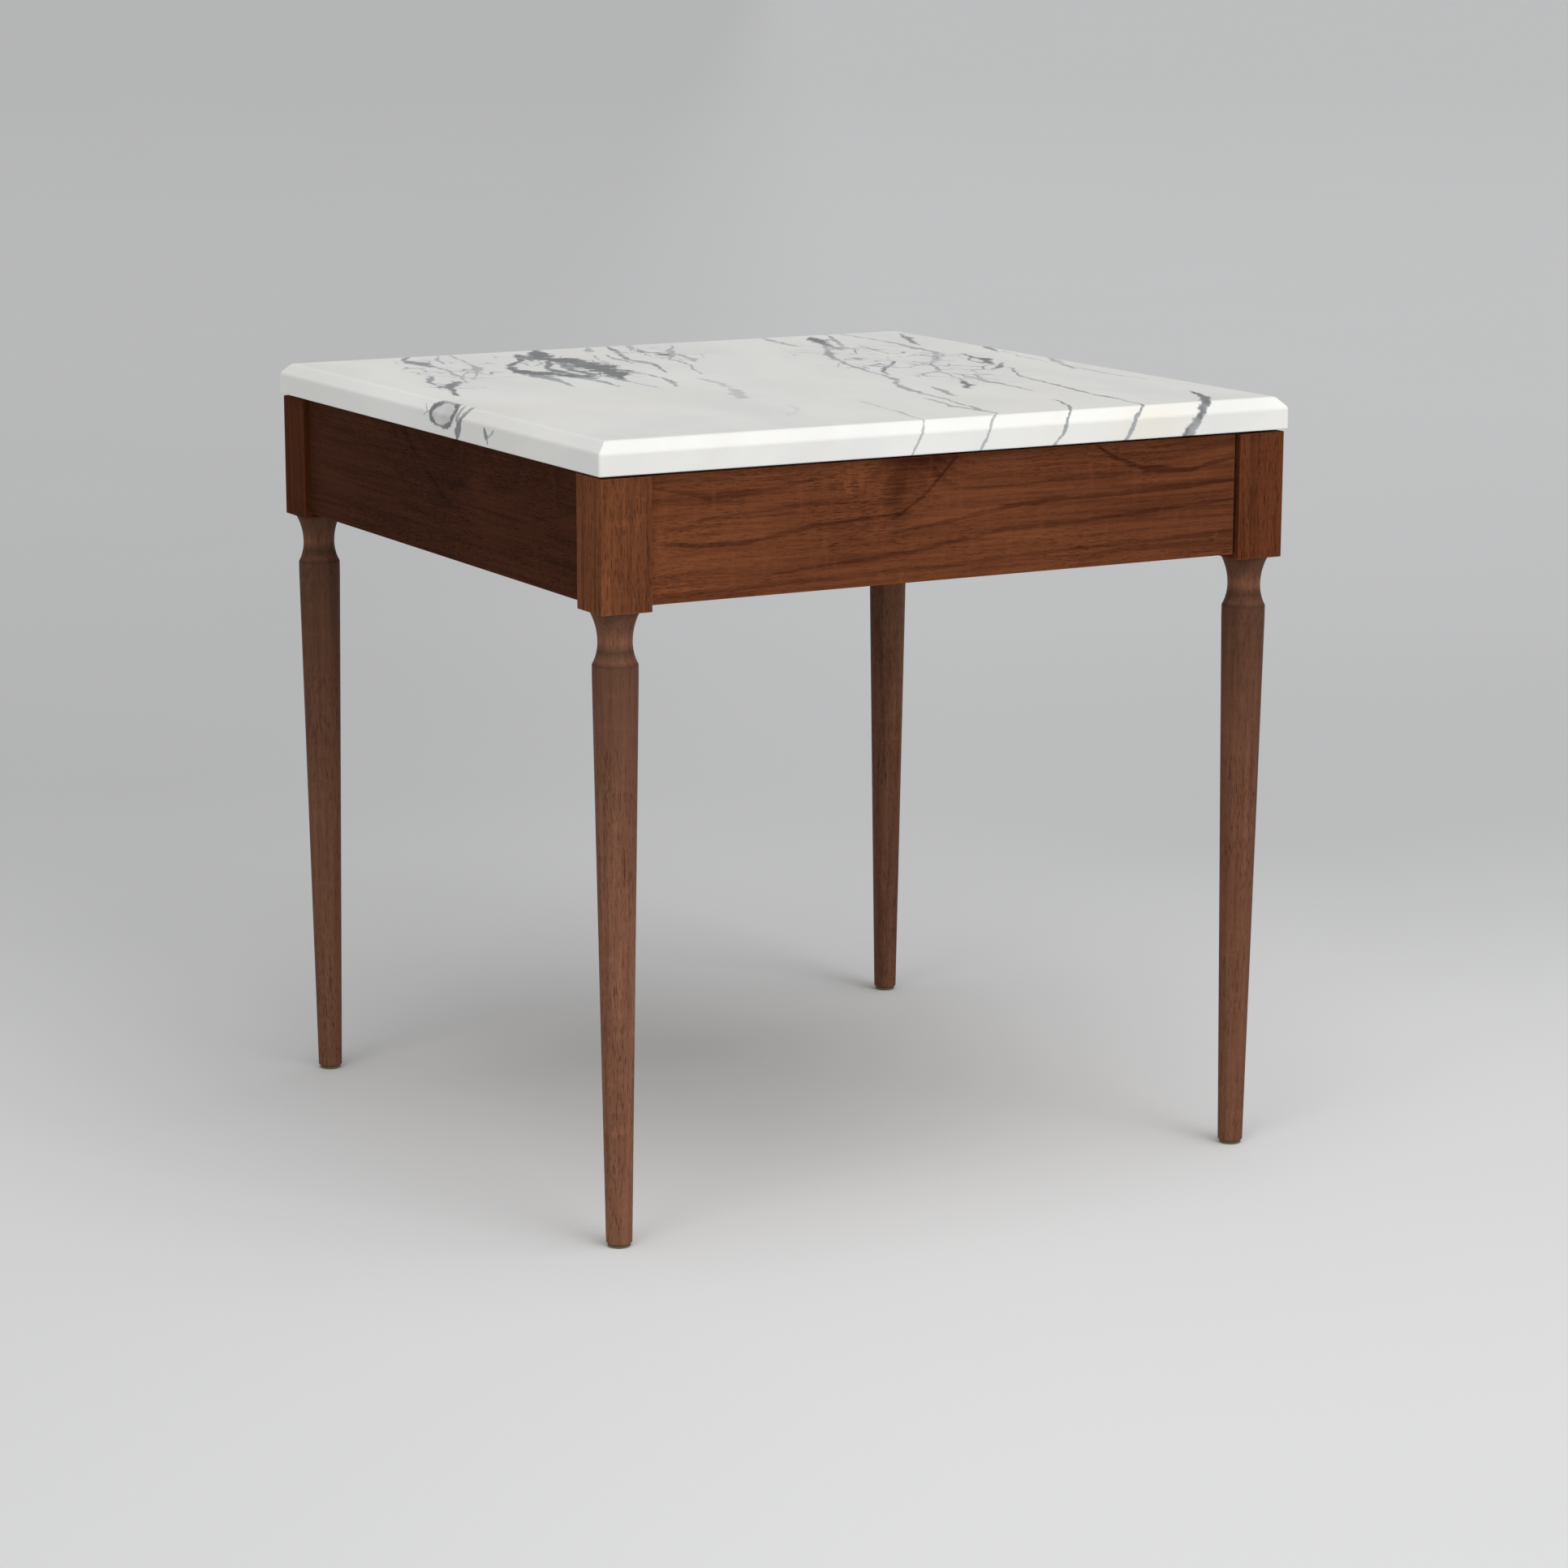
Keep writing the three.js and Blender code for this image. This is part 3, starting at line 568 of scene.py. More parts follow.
def white_stone(g, across, along, y, z, cloudy):
    """The stone between the veins: white, with faint clouds, warm streaks and the stain."""
    cloud = g.noise(g.join(g.times(across, 2.2), along, z), scale=7, detail=4, roughness=0.55)
    streaky = g.noise(g.join(g.times(across, 26.0), g.times(along, 9.0), g.times(z, 9.0)), scale=1, detail=3)
    patches = g.fade(g.noise(g.place, scale=5.5, detail=3), 0.45, 0.7)
    warm = g.add(g.times(patches, 0.6), g.fade(streaky, 0.55, 0.78))
    stain_x = g.add(across, g.wander(g.place, scale=22, reach=20 * MM))
    stain = soft_spot(g, stain_x, y, STAIN_PLACE, STAIN_SIZE)
    warm = g.math("MAXIMUM", g.times(warm, 0.5), g.times(stain, 0.8))
    white = g.mix(g.fade(cloud, 0.35, 0.72), MARBLE_WHITE, MARBLE_SHADOW)
    white = g.mix(g.times(warm, 0.62), white, MARBLE_WARM)
    return g.mix(g.times(cloudy, 0.22), white, MARBLE_COOL)


def marble():
    """White marble with drawn veins that lean as they go down through the slab."""
    g = Graph("marble")
    low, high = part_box("marble_top")
    x, y, z = g.split(g.place)
    depth = g.less(z, high.z)
    turned = g.join(y, x, z)
    bend_x = g.wander(g.place, scale=14, reach=5 * MM, detail=2)
    bend_x = g.add(bend_x, g.wander(g.place, scale=52, reach=3.6 * MM, detail=3))
    bend_y = g.wander(turned, scale=14, reach=5 * MM, detail=2)
    bend_y = g.add(bend_y, g.wander(turned, scale=52, reach=2.5 * MM, detail=3))
    ragged = g.wander(g.place, scale=64, reach=1.5, detail=3)
    ragged = g.add(ragged, g.wander(g.place, scale=300, reach=0.9, detail=3))
    across = g.add(g.math("MULTIPLY_ADD", depth, -VEIN_LEAN, x), bend_x)
    along = g.add(y, bend_y)
    vein = g.drawn(along, across, VEINS, VEIN_GAP, ragged)
    left = g.fade(x, low.x + 1.6 * SLAB_CHAMFER, low.x + 0.9 * SLAB_CHAMFER)
    vein = g.math("MAXIMUM", vein, g.times(left_edge_marks(g, y, depth, turned, ragged), left))
    cloudy = 0.0
    for place, size, amount in CLOUDED:
        cloudy = g.math("MAXIMUM", g.times(soft_spot(g, across, along, place, size), amount), cloudy)
    network = fine_cracks(g, across, along, z, vein, cloudy)
    vein = g.times(vein, g.fade(g.noise(turned, scale=33, detail=3), 0.28, 0.55, 0.55, 1.0))
    vein = g.math("MAXIMUM", vein, network)
    white = white_stone(g, across, along, y, z, cloudy)
    grey = g.mix(g.noise(g.place, scale=120, detail=3), VEIN_DARK, VEIN_LIGHT)
    pale = g.mix(g.fade(vein, 0.0, 0.42), white, VEIN_HALO)
    g.feed(g.shader.inputs["Base Color"], g.mix(g.fade(vein, 0.34, 0.95), pale, grey))
    polish = g.noise(g.place, scale=160, detail=3)
    g.feed(g.shader.inputs["Roughness"], g.math("MULTIPLY_ADD", polish, 0.10, 0.26))
    g.shader.inputs["Specular IOR Level"].default_value = MARBLE_GLOSS
    g.bump(g.noise(g.place, scale=45, detail=2), distance=MARBLE_BUMP)
    return g.material


# ---- Walnut ----

# Which coordinates run along the grain and across it, for each way that a board's grain can run
AXES = {"X": (0, 1, 2), "Y": (1, 0, 2), "Z": (2, 0, 1)}
BOARD_GLOSS = 0.006
TURNED_GLOSS = 0.03
# The dark tone of the painted shade on the turned legs
PAINTED_SHADE_TONE = (0.040, 0.022, 0.014)
# Painted highlight along the boards' edges: how strong it is and how far in from the edge it reaches
EDGE_HIGHLIGHT = 0.35
EDGE_HIGHLIGHT_REACH = 1.1 * MM
PORE_SHARE = 0.70
WALNUT_BUMP = 0.10 * MM

# How dark the wood is through one yearly ring: (share of the ring, shade)
RING_SHADES = ((0.0, 0.25), (0.15, 0.0), (0.6, 0.2), (0.88, 1.0), (1.0, 0.6))

# Colours that the boards and the turned legs run between
WALNUT_LIGHT = (0.190, 0.062, 0.026)
WALNUT_DARK = (0.060, 0.017, 0.008)
TURNED_LIGHT = (0.235, 0.108, 0.064)
TURNED_DARK = (0.108, 0.044, 0.026)
SIDE_LIGHT = (0.068, 0.0225, 0.0105)
SIDE_DARK = (0.025, 0.0085, 0.0045)


def scaled(colour, share):
    return tuple(share * c for c in colour)


def growth_rings(g, v, w, pith, seed, bow, bend, spacing):
    """How dark the yearly rings round the pith are at a place. They are bent, uneven and patchy."""
    dv, dw = g.less(v, pith[0]), g.less(w, pith[1])
    radius = g.add(g.math("SQRT", g.math("MULTIPLY_ADD", dv, dv, g.times(dw, dw))), bend)
    uneven = g.wander(g.join(radius, 0.0, seed), scale=90, reach=3.0 * MM, detail=2)
    ring = g.math("FRACT", g.math("DIVIDE", g.add(radius, uneven), spacing))
    band = g.split(g.ramp(ring, greys(RING_SHADES), "B_SPLINE"))[0]
    return g.times(band, g.fade(g.noise(bow, scale=30, detail=3), 0.32, 0.66, 0.1, 1.0))


def wood_pores(g, u, v, w, seed, bow):
    """Short dark dashes along the grain, fine and coarse, that come in patches."""
    fine = g.fade(g.fibres(u, v, w, seed, length=140.0, fineness=1300.0, detail=2), 0.53, 0.64)
    coarse = g.fade(g.fibres(u, v, w, seed * 2, length=75.0, fineness=850.0, detail=2), 0.58, 0.70)
    pores = g.math("MAXIMUM", g.times(fine, 0.7), coarse)
    return g.times(pores, g.fade(g.noise(bow, scale=24, detail=3), 0.30, 0.62, 0.35, 1.0))


def walnut(node, axis, pith, seed, light, dark, spacing=7 * MM, figure=None, painted_shade=None):
    """The walnut of one CAD node.

    axis is the way its grain runs, pith the two coordinates across it of the middle of the tree,
    and spacing the distance between its rings. figure adds what one board shows: see draw_figure.
    The last argument paints shade along a turned leg, as (height, share) pairs from below.
    A board has a painted highlight along its edges in its place.
    """
    g = Graph(f"walnut_{node}")
    parts = g.split(g.place)
    u, v, w = (parts[i] for i in AXES[axis])
    bow = g.join(g.add(g.times(u, 0.42), seed * 1.7), v, w)
    bend = g.wander(bow, scale=9, reach=11 * MM, detail=2)
    bend = g.add(bend, g.wander(bow, scale=42, reach=1.8 * MM, detail=3))
    marks = 0.0
    if figure:
        marks, pulled = draw_figure(g, u, w, figure)
        bend = g.add(bend, pulled)
    band = growth_rings(g, v, w, pith, seed, bow, bend, spacing)
    fibre = g.fibres(u, v, w, seed, length=9.0, fineness=330.0, detail=3)
    streak = g.fibres(u, g.add(v, bend), g.add(w, bend), seed * 3, length=3.0, fineness=75.0, detail=3)
    pores = wood_pores(g, u, v, w, seed, bow)
    broad = g.noise(bow, scale=6, detail=2)
    tone = g.add(g.times(band, 0.30), g.times(g.less(streak, 0.5), 0.85))
    tone = g.add(tone, g.times(g.less(fibre, 0.5), 1.25))
    tone = g.add(g.add(tone, g.times(g.less(broad, 0.5), 0.7)), marks)
    wood = g.mix(g.math("ADD", tone, 0.30, clamp=True), light, dark)
    rippled = g.join(g.times(u, 130.0), g.times(v, 30.0), g.add(g.times(w, 30.0), seed))
    ripple = g.noise(rippled, scale=1, detail=3, roughness=0.6)
    wood = g.mix(g.fade(ripple, 0.5, 0.8, 0.0, 0.16), wood, scaled(light, 1.6))
    wood = g.mix(g.times(pores, PORE_SHARE), wood, scaled(dark, 0.30))
    # Painted shade on a turned leg by height: darker under the case and at the shoulder, lighter at the neck
    if painted_shade:
        lowest, highest = painted_shade[0][0], painted_shade[-1][0]
        shares = g.ramp(g.spread(u, lowest, highest), greys(painted_shade, lowest, highest))
        wood = g.mix(g.split(shares)[0], wood, PAINTED_SHADE_TONE)
    else:
        # Painted highlight: a board is lighter close to its edges, where they catch the light
        edge_gap = g.add(g.edge_distance(*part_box(node)), g.wander(g.place, scale=90, reach=0.5 * MM, detail=3))
        edge_highlight_share = g.fade(edge_gap, EDGE_HIGHLIGHT_REACH, 0.1 * MM, 0.0, EDGE_HIGHLIGHT)
        wood = g.mix(edge_highlight_share, wood, scaled(light, 1.5))
    g.feed(g.shader.inputs["Base Color"], wood)
    polish = g.math("MULTIPLY_ADD", g.less(fibre, 0.5), 0.16, 0.42)
    g.feed(g.shader.inputs["Roughness"], g.math("MULTIPLY_ADD", pores, 0.2, polish))
    g.shader.inputs["Specular IOR Level"].default_value = TURNED_GLOSS if painted_shade else BOARD_GLOSS
    g.bump(g.math("MULTIPLY_ADD", fibre, 0.35, g.times(pores, -1.0)), distance=WALNUT_BUMP, strength=0.6)
    return g.material


# The least distance between marks on a board that share a ramp, in millimetres
FIGURE_GAP = 12


def draw_figure(g, along, across, figure):
    """A board's own marks: how much darker it is at a place, and how far its rings bend there."""
    wave = g.wander(g.join(g.times(along, 0.5), 0.0, across), scale=30, reach=2.2 * MM, detail=3)
    raised = g.less(across, figure["base"])
    frayed = g.wander(g.join(g.times(along, 0.15), 0.0, across), scale=330, reach=1.3, detail=3)
    shaded = g.drawn(along, g.add(raised, wave), figure["lines"], FIGURE_GAP, frayed)
    shaded = g.times(shaded, 0.5)
    bend = 0.0
    for place, size, amount in figure["shades"]:
        spot = soft_spot(g, g.add(along, wave), g.add(raised, wave), place, size)
        shaded = g.math("MULTIPLY_ADD", spot, amount, shaded)
    for place, size, amount in figure["flames"]:
        spot = soft_spot(g, along, raised, place, size)
        upright = g.join(g.times(along, 150.0), 0.0, g.times(across, 45.0))
        flame = g.noise(upright, scale=1, detail=3, roughness=0.6)
        shaded = g.math("MULTIPLY_ADD", g.times(spot, g.fade(flame, 0.38, 0.66)), -amount, shaded)
    for place, size, amount in figure["knots"]:
        bend = g.math("MULTIPLY_ADD", soft_spot(g, along, raised, place, size), amount, bend)
    return shaded, bend


def drawer_figure():
    """The drawer front's marks, in millimetres from its middle and its lower edge."""
    low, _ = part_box("drawer_front")
    return {
        "base": low.z,
        "lines": (
            (0.70, ((-236, 44, 1.6), (-200, 37, 1.6), (-165, 37, 1.6), (-110, 45, 1.4), (-40, 49, 1.0))),
            (0.85, ((-48, 36, 1.2), (0, 41, 1.6), (60, 49, 2.0), (140, 51, 1.8), (236, 54, 1.8))),
            (0.62, ((-140, 14, 1.2), (-40, 21, 1.6), (40, 31, 1.6), (110, 34, 1.4), (236, 40, 1.6))),
            (0.55, ((-236, 6, 1.6), (-60, 8, 2.0), (100, 14, 1.6), (236, 17, 1.6))),
            (0.60, ((-236, 80, 1.2), (-190, 69, 2.4), (-150, 71, 2.0), (-110, 77, 1.2))),
            (0.50, ((-200, 54, 1.0), (-120, 60, 1.6), (-70, 58, 1.0))),
            (0.88, ((-44, 48, 1.4), (-24, 60, 1.6), (-6, 78, 2.0), (4, 88, 1.6))),
            (
                0.85,
                (
                    (114, 88, 1.2),
                    (130, 77, 1.8),
                    (155, 67, 2.0),
                    (198, 64, 1.8),
                    (214, 68, 1.6),
                    (236, 71, 1.6),
                ),
            ),
            (0.40, ((20, 62, 1.0), (80, 64, 1.4), (130, 62, 1.0))),
        ),
        "shades": (
            ((-40 * MM, 86 * MM), (34 * MM, 30 * MM), 0.62),
            ((-12 * MM, 88 * MM), (28 * MM, 30 * MM), 0.42),
            ((-44 * MM, 62 * MM), (16 * MM, 24 * MM), 0.38),
            ((-200 * MM, 44 * MM), (110 * MM, 80 * MM), -0.20),
            ((236 * MM, 30 * MM), (170 * MM, 100 * MM), 0.14),
            ((180 * MM, 40 * MM), (120 * MM, 22 * MM), 0.20),
            ((-190 * MM, 72 * MM), (60 * MM, 14 * MM), 0.16),
        ),
        "flames": (
            ((-232 * MM, 34 * MM), (30 * MM, 60 * MM), 0.42),
            ((-82 * MM, 76 * MM), (26 * MM, 30 * MM), 0.46),
            ((-60 * MM, 40 * MM), (14 * MM, 12 * MM), 0.40),
            ((200 * MM, 60 * MM), (6 * MM, 6 * MM), 0.40),
        ),
        "knots": (
            ((-55 * MM, 42 * MM), (30 * MM, 18 * MM), 9 * MM),
            ((-40 * MM, 88 * MM), (60 * MM, 44 * MM), -22 * MM),
            ((170 * MM, 92 * MM), (80 * MM, 34 * MM), 14 * MM),
            ((-236 * MM, 50 * MM), (60 * MM, 40 * MM), 6 * MM),
        ),
    }


def side_figure(node):
    """Faint arcs on the darker side boards, in millimetres from their middle and their lower edge."""
    low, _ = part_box(node)
    return {
        "base": low.z,
        "lines": (
            (0.45, ((-60, 30, 2.0), (-20, 40, 3.0), (20, 60, 3.0), (60, 84, 2.0))),
            (0.40, ((-220, 58, 1.6), (-160, 44, 1.6), (-60, 42, 1.6))),
            (0.36, ((-236, 20, 1.6), (-100, 24, 1.8), (100, 16, 1.6), (236, 12, 1.4))),
        ),
        "shades": (
            ((-20 * MM, 72 * MM), (70 * MM, 50 * MM), 0.34),
            ((60 * MM, 60 * MM), (50 * MM, 40 * MM), 0.20),
        ),
        "flames": (((-60 * MM, 10 * MM), (60 * MM, 26 * MM), 0.12),),
        "knots": (
            ((0 * MM, 100 * MM), (110 * MM, 90 * MM), -38 * MM),
            ((-170 * MM, 90 * MM), (60 * MM, 50 * MM), 16 * MM),
        ),
    }


# ---- Other materials ----


def plain_wood(name, axis, light, dark, seed, roughness):
    """A pale, close-grained wood such as maple or beech, with short flecks."""
    g = Graph(name)
    parts = g.split(g.place)
    u, v, w = (parts[i] for i in AXES[axis])
    bow = g.join(g.add(g.times(u, 0.35), seed), v, w)
    ringed = g.join(g.add(g.times(u, 1.4), seed), g.times(v, 60.0), g.times(w, 60.0))
    ring = g.noise(ringed, scale=1, detail=3, roughness=0.6)
    drawn_out = g.join(g.add(g.times(u, 7.0), seed), g.times(v, 420.0), g.times(w, 420.0))
    fibre = g.noise(drawn_out, scale=1, detail=3, roughness=0.6)
    flecked = g.join(g.times(u, 160.0), g.times(v, 900.0), g.add(g.times(w, 900.0), seed))
    fleck = g.noise(flecked, scale=1, detail=1)
    fleck = g.fade(fleck, 0.60, 0.72)
    broad = g.noise(bow, scale=8, detail=2)
    tone = g.add(g.times(ring, 0.7), g.add(g.times(fibre, 0.4), g.times(broad, 0.3)))
    wood = g.mix(g.fade(tone, 0.45, 0.95), light, dark)
    wood = g.mix(g.times(fleck, 0.30), wood, scaled(dark, 0.6))
    g.feed(g.shader.inputs["Base Color"], wood)
    g.feed(g.shader.inputs["Roughness"], g.add(g.times(fibre, 0.14), roughness))
    g.bump(g.add(g.times(fleck, -0.6), g.times(fibre, 0.4)), distance=0.06 * MM, strength=0.6)
    return g.material


STEEL_DARK, STEEL_LIGHT = (0.62, 0.64, 0.66), (0.74, 0.75, 0.75)
STEEL_MARKS = (0.50, 0.51, 0.52)


def zinc_steel():
    """Zinc-plated steel with rolling marks along Y and cloudy plating."""
    g = Graph("zinc_steel")
    x, y, z = g.split(g.place)
    lengthwise = g.join(g.times(x, 500.0), g.times(y, 9.0), g.times(z, 500.0))
    rolled = g.noise(lengthwise, scale=1, detail=3, roughness=0.6)
    cloud = g.noise(g.place, scale=38, detail=3)
    base = g.mix(cloud, STEEL_DARK, STEEL_LIGHT)
    g.feed(g.shader.inputs["Base Color"], g.mix(g.times(rolled, 0.3), base, STEEL_MARKS))
    g.shader.inputs["Metallic"].default_value = 1.0
    g.feed(g.shader.inputs["Roughness"], g.add(g.times(rolled, 0.16), g.add(g.times(cloud, 0.14), 0.20)))
    g.bump(rolled, distance=0.02 * MM, strength=0.5)
    return g.material


RUBBER_DARK, RUBBER_LIGHT = (0.018, 0.018, 0.018), (0.035, 0.034, 0.033)


def rubber():
    """Matt black rubber with a fine grain."""
    g = Graph("rubber")
    grain = g.noise(g.place, scale=900, detail=3)
    g.feed(g.shader.inputs["Base Color"], g.mix(grain, RUBBER_DARK, RUBBER_LIGHT))
    g.feed(g.shader.inputs["Roughness"], g.add(g.times(grain, 0.2), 0.65))
    g.bump(grain, distance=0.05 * MM)
    return g.material


FELT_DARK, FELT_LIGHT = (0.055, 0.052, 0.012), (0.16, 0.145, 0.045)
FELT_CLUMPS = (0.11, 0.095, 0.05)


def felt():
    """Pressed olive felt: short fibres that lie every way, and browner clumps."""
    g = Graph("felt")
    fibre = g.noise(g.place, scale=1500, detail=4, roughness=0.7, distortion=1.5)
    clump = g.noise(g.place, scale=240, detail=3)
    base = g.mix(fibre, FELT_DARK, FELT_LIGHT)
    g.feed(g.shader.inputs["Base Color"], g.mix(g.times(clump, 0.5), base, FELT_CLUMPS))
    g.feed(g.shader.inputs["Roughness"], g.add(g.times(fibre, 0.15), 0.82))
    g.shader.inputs["Sheen Weight"].default_value = 0.3
    g.shader.inputs["Sheen Roughness"].default_value = 0.5
    g.bump(fibre, distance=0.25 * MM)
    return g.material


# Painted shade on the paper by distance behind the table, lighter near it and darker where less light reaches
# the back: (metres, shade)
FLOOR_PAINTED_SHADE = (
    (-1.2, 0.77),
    (-0.4, 0.745),
    (0.2, 0.68),
    (0.7, 0.56),
    (1.2, 0.495),
    (2.2, 0.525),
    (5.0, 0.545),
    (12.0, 0.535),
    (20.0, 0.515),
)
FLOOR_TINT = (0.985, 0.99, 1.0)
FLOOR_SMUDGE = (0.70, 0.705, 0.72)

# Painted shade on the camera's left of the paper: how much darker it is, and from where to where that comes
# in, in metres
LEFT_PAINTED_SHADE = 0.11
LEFT_PAINTED_SHADE_REACH = (0.25, -0.65)


def floor_material():
    """Pale studio paper with painted shade, darker towards the back and on the camera's left, and faintly
    smudged.
    """
    g = Graph("floor")
    x, y, _ = g.split(g.place)
    way = math.radians(-CAMERA_AZIMUTH)
    behind = g.add(g.times(x, math.sin(way)), g.times(y, math.cos(way)))
    nearest, furthest = FLOOR_PAINTED_SHADE[0][0], FLOOR_PAINTED_SHADE[-1][0]
    stops = greys(FLOOR_PAINTED_SHADE, nearest, furthest)
    # The paper's colour with painted shade that darkens it with distance behind the table
    paper = g.ramp(g.spread(behind, nearest, furthest), stops, "B_SPLINE")
    sideways = g.less(g.times(x, math.cos(way)), g.times(y, math.sin(way)))
    # Painted shade that darkens the paper towards the camera's left
    left_painted_shade = g.fade(sideways, *LEFT_PAINTED_SHADE_REACH, 0.0, LEFT_PAINTED_SHADE)
    paper = g.mix(left_painted_shade, paper, (0.0, 0.0, 0.0))
    smudge = g.noise(g.place, scale=1.6, detail=4, roughness=0.55)
    paper = g.mix(g.times(smudge, 0.06), paper, FLOOR_SMUDGE)
    g.feed(g.shader.inputs["Base Color"], g.mix(1.0, paper, FLOOR_TINT, "MULTIPLY"))
    g.shader.inputs["Roughness"].default_value = 0.75
    g.shader.inputs["Specular IOR Level"].default_value = 0.2
    return g.material


# ---- Turned legs and felts ----

LEG_SIDES = 96
SMOOTH_TURN = math.radians(24)
ON_AXIS = 0.01 * MM
FELT_ROUND = 0.5 * MM


def turned_profile(node, centre):
    """A turned CAD node's outline as (radius, height) points from the foot up, read off its own mesh."""
    heights = {}
    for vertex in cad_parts[node].data.vertices:
        radius = math.hypot(vertex.co.x - centre.x, vertex.co.y - centre.y)
        key = round(vertex.co.z / MM, 2)
        heights.setdefault(key, set()).add(round(radius / MM, 2))
    points = []
    for height in sorted(heights):
        radii = sorted(heights[height])
        if points and abs(points[-1].x - radii[0] * MM) > abs(points[-1].x - radii[-1] * MM):
            radii.reverse()
        points += [Vector((radius * MM, height * MM)) for radius in radii]
    return points


def smoothed(points, steps=4):
    """The outline with a curve through each gentle turn. Sharp corners stay where they are."""
    result = []
    last = len(points) - 1
    for i in range(last):
        a, b = points[i], points[i + 1]
        before, after = points[max(i - 1, 0)], points[min(i + 2, last)]
        chord = b - a
        enters = chord if i == 0 or (a - before).angle(chord, 0) > SMOOTH_TURN else (b - before)
        leaves = chord if i == last - 1 or chord.angle(after - b, 0) > SMOOTH_TURN else (after - a)
        start, end = enters.normalized() * chord.length, leaves.normalized() * chord.length
        for step in range(steps):
            t = step / steps
            result.append(
                (2 * t**3 - 3 * t**2 + 1) * a
                + (t**3 - 2 * t**2 + t) * start
                + (3 * t**2 - 2 * t**3) * b
                + (t**3 - t**2) * end
            )
    return [*result, points[last]]


def lathe(outline, centre, sides):
    """A closed turned mesh from an outline that starts and ends on the axis."""
    mesh = bmesh.new()
    rings = []
    for radius, height in outline:
        if radius < ON_AXIS:
            rings.append([mesh.verts.new((centre.x, centre.y, height))])
            continue
        ring = []
        for side in range(sides):
            angle = 2 * math.pi * side / sides
            x, y = centre.x + radius * math.cos(angle), centre.y + radius * math.sin(angle)
            ring.append(mesh.verts.new((x, y, height)))
        rings.append(ring)
    for lower, upper in zip(rings, rings[1:]):
        for i in range(sides):
            j = (i + 1) % sides
            below = (lower[i % len(lower)], lower[j % len(lower)])
            above = (upper[j % len(upper)], upper[i % len(upper)])
            distinct = list(dict.fromkeys((*below, *above)))
            if len(distinct) > 2:
                mesh.faces.new(distinct)
    return mesh


def leg_painted_shade(node):
    """Painted shade on a leg by height: darkest at the shoulder and under the post, where shade falls, and
    lighter at the neck and just above the shoulder as a painted highlight.
    """
    low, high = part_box(node)
    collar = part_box(node.replace("leg", "post"))[0].z
    upper = [p for p in turned_profile(node, (low + high) / 2) if 0.7 * collar < p.y < collar - 1 * MM]
    neck = min(upper, key=lambda p: p.x)
    shoulder = max((p for p in upper if p.y < neck.y), key=lambda p: (p.x, p.y))
    return (
        (0.55 * collar, 0.0),
        (0.80 * collar, 0.34),
        (shoulder.y - 1 * MM, 0.50),
        (shoulder.y, 0.72),
        (shoulder.y + 3 * MM, 0.30),
        (0.4 * shoulder.y + 0.6 * neck.y, 0.66),
        (neck.y + 1 * MM, 0.0),
        (0.5 * neck.y + 0.5 * collar, 0.42),
        (collar, 0.55),
    )


def make_leg(corner, material):
    node = f"leg_{corner}"
    low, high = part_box(node)
    centre = (low + high) / 2
    mesh = lathe(smoothed(turned_profile(node, centre)), centre, LEG_SIDES)
    add_piece(f"turned_{node}", mesh, node, "frame", material, SMOOTH_TURN)


def make_felt(corner, material):
    node = f"felt_foot_{corner}"
    low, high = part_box(node)
    centre = (low + high) / 2
    radius = (high.x - low.x) / 2
    corners = [
        Vector((0, low.z)),
        Vector((radius, low.z)),
        Vector((radius, high.z)),
        Vector((0, high.z)),
    ]
    outline = [corners[0]]
    for before, turn, after in zip(corners, corners[1:], corners[2:]):
        outline += rounded_turn(before, turn, after, FELT_ROUND, ROUND_STEPS)
    outline.append(corners[-1])
    add_piece(f"round_{node}", lathe(outline, centre, LEG_SIDES), node, "frame", material)


# ---- Stage floor ----


def make_floor():
    mesh = bmesh.new()
    bmesh.ops.create_circle(mesh, cap_ends=True, segments=FLOOR_SIDES, radius=FLOOR_RADIUS)
    data = bpy.data.meshes.new("floor")
    mesh.to_mesh(data)
    mesh.free()
    floor = bpy.data.objects.new("floor", data)
    bpy.context.scene.collection.objects.link(floor)
    dress(floor, floor_material())


# ---- The table ----

WOOD_EASE = 0.6 * MM
BOX_EASE = 0.8 * MM
STEEL_EASE = 0.25 * MM

# How light each post and each leg is beside the others, as shares of (red, green, blue).
# Partly the wood's own tone, partly painted shade that darkens the rear ones, which stand in shade.
POST_TONE_AND_SHADE = {
    "front_left": (1.18, 1.28, 1.30),
    "front_right": (0.74, 0.70, 0.68),
    "rear_left": (0.45, 0.41, 0.38),
    "rear_right": (0.80, 0.80, 0.80),
}
LEG_TONE_AND_SHADE = {
    "front_left": (1.06, 1.04, 1.04),
    "front_right": (0.90, 0.85, 0.82),
    "rear_left": (0.75, 0.75, 0.75),
    "rear_right": (0.76, 0.76, 0.76),
}

# Each board's own cut of the tree: the pith from a point of the board, the first seed, the ring spacing
POST_CUT = ((0.055, 0.040), 3.1, 4.5 * MM)
LEG_CUT = ((0.045, 0.060), 7.3, 5.5 * MM)
LEFT_CUT = ((0.11, 0.02), 11.7, 11 * MM)
RIGHT_CUT = ((-0.08, 0.02), 13.7, 11 * MM)
REAR_CUT = ((-0.10, 0.01), 17.9, 9 * MM)
FRONT_CUT = ((0.09, -0.03), 23.3, 6.5 * MM)

MAPLE = ((0.62, 0.47, 0.30), (0.47, 0.32, 0.18))
BEECH = ((0.55, 0.36, 0.20), (0.40, 0.24, 0.12))
MAPLE_ROUGHNESS = 0.34
BEECH_ROUGHNESS = 0.55


def shaded(colour, shares):
    return tuple(share * c for share, c in zip(shares, colour))


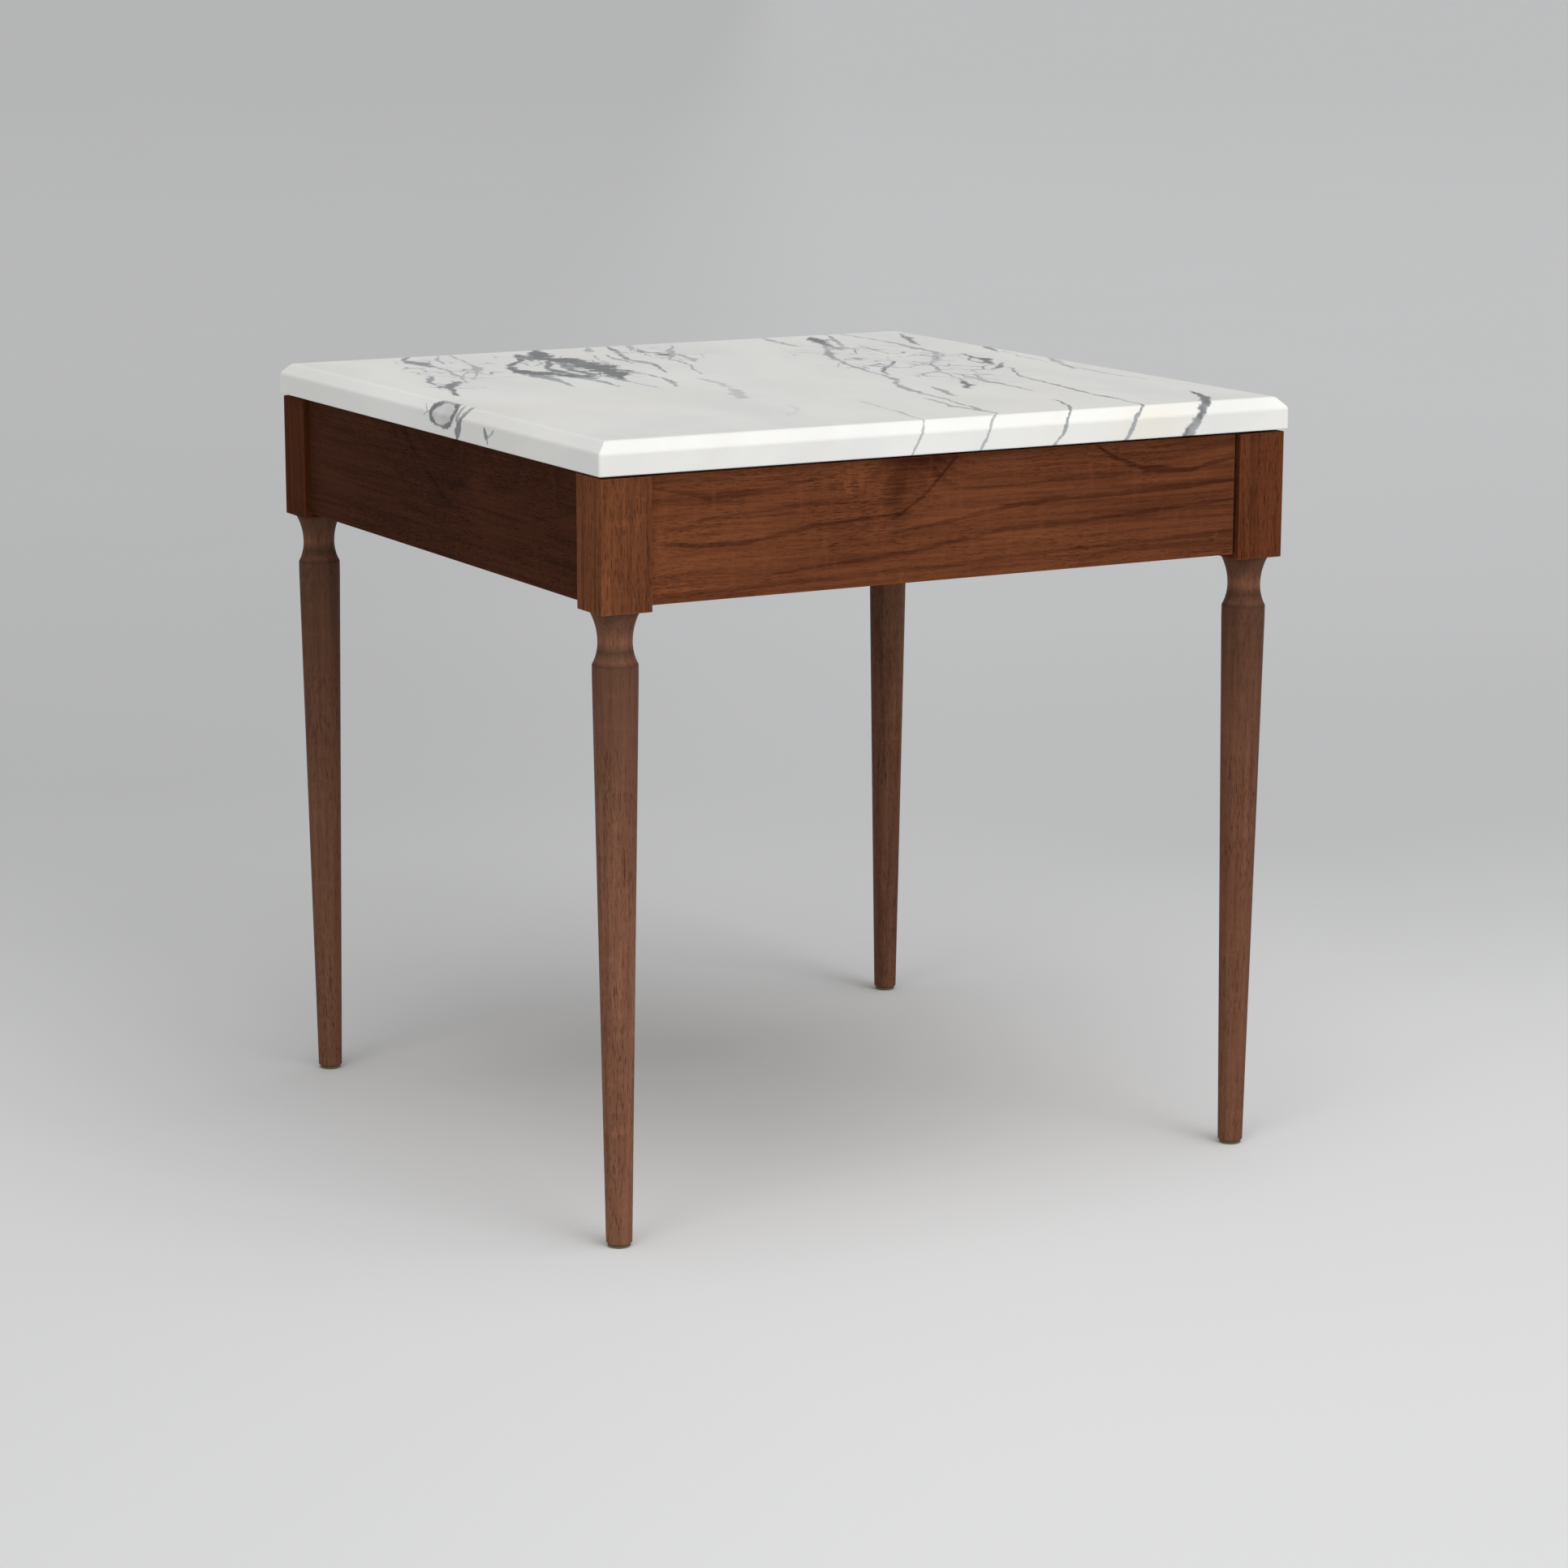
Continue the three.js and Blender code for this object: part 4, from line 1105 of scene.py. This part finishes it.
def cut_board(node, axis, point, cut, light, dark, step=0.0, figure=None, painted_shade=None):
    """The walnut of a node whose pith lies off a point of it. step tells one of a set from the next."""
    offset, seed, spacing = cut
    pith = (point[0] + offset[0], point[1] + offset[1])
    return walnut(node, axis, pith, seed + step, light, dark, spacing, figure, painted_shade)


def make_uprights():
    """The posts, and the turned legs below them."""
    for index, corner in enumerate(CORNERS):
        post, leg = f"post_{corner}", f"leg_{corner}"
        low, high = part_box(post)
        middle = (low + high) / 2
        # Each post's and leg's colours take its share of wood tone and painted shade
        tones = [shaded(tone, POST_TONE_AND_SHADE[corner]) for tone in (WALNUT_LIGHT, WALNUT_DARK)]
        wood = cut_board(post, "Z", middle, POST_CUT, *tones, index)
        eased(post, "frame", wood, WOOD_EASE)
        tones = [shaded(tone, LEG_TONE_AND_SHADE[corner]) for tone in (TURNED_LIGHT, TURNED_DARK)]
        make_leg(corner, cut_board(leg, "Z", middle, LEG_CUT, *tones, index, None, leg_painted_shade(leg)))


def make_boards():
    """The three aprons and the drawer front."""
    for side, cut in zip(SIDES, (LEFT_CUT, RIGHT_CUT)):
        node = f"apron_{side}"
        low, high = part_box(node)
        point, figure = (low.x, high.z), side_figure(node)
        wood = cut_board(node, "Y", point, cut, SIDE_LIGHT, SIDE_DARK, 0.0, figure)
        eased(node, "frame", wood, WOOD_EASE)
    _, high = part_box("apron_rear")
    wood = cut_board("apron_rear", "X", (high.y, high.z), REAR_CUT, WALNUT_LIGHT, WALNUT_DARK)
    eased("apron_rear", "frame", wood, WOOD_EASE)
    low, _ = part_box("drawer_front")
    point, figure = (low.y, low.z), drawer_figure()
    wood = cut_board("drawer_front", "X", point, FRONT_CUT, WALNUT_LIGHT, WALNUT_DARK, 0.0, figure)
    eased("drawer_front", "drawer", wood, WOOD_EASE)


def make_feet_and_pads():
    """The felt discs under the legs and the rubber pads under the slab."""
    felt_material = felt()
    rubber_material = rubber()
    for corner in CORNERS:
        make_felt(corner, felt_material)
        dress(f"slab_pad_{corner}", rubber_material)
        soften(f"slab_pad_{corner}", STEEL_EASE)


def make_inner_parts():
    """The drawer box, the hidden frame parts, the slides and their screws."""
    maple_along = plain_wood("maple_sides", "Y", *MAPLE, 2.0, MAPLE_ROUGHNESS)
    maple_across = plain_wood("maple_ends", "X", *MAPLE, 5.0, MAPLE_ROUGHNESS)
    beech_along = plain_wood("beech_along", "Y", *BEECH, 8.0, BEECH_ROUGHNESS)
    beech_across = plain_wood("beech_across", "X", *BEECH, 9.0, BEECH_ROUGHNESS)
    steel = zinc_steel()
    for node in ("drawer_box_front", "drawer_box_back", "drawer_bottom"):
        eased(node, "drawer", maple_across, BOX_EASE)
    eased("front_rail", "frame", beech_across, WOOD_EASE)
    for side in SIDES:
        eased(f"drawer_side_{side}", "drawer", maple_along, BOX_EASE)
        eased(f"slide_batten_{side}", "frame", beech_along, WOOD_EASE)
        eased(f"corner_brace_rear_{side}", "frame", beech_across, WOOD_EASE)
        dress(f"rail_dowel_{side}", beech_across)
        dress(f"tenon_rear_{side}", beech_across)
        dress(f"brace_bolt_rear_{side}", steel)
        for part in ("cabinet", "middle", "drawer"):
            dress(f"slide_{part}_{side}", steel)
            soften(f"slide_{part}_{side}", STEEL_EASE)
        for end in ENDS:
            dress(f"tenon_{side}_{end}", beech_along)
            dress(f"cabinet_screw_{side}_{end}", steel)
            dress(f"member_screw_{side}_{end}", steel)
        for row in ("upper", "lower"):
            dress(f"front_screw_{row}_{side}", steel)


make_camera()
make_world()
for light_name, settings in LIGHTS.items():
    make_light(light_name, *settings)
make_floor()
make_slab(marble())
make_uprights()
make_feet_and_pads()
make_boards()
make_inner_parts()
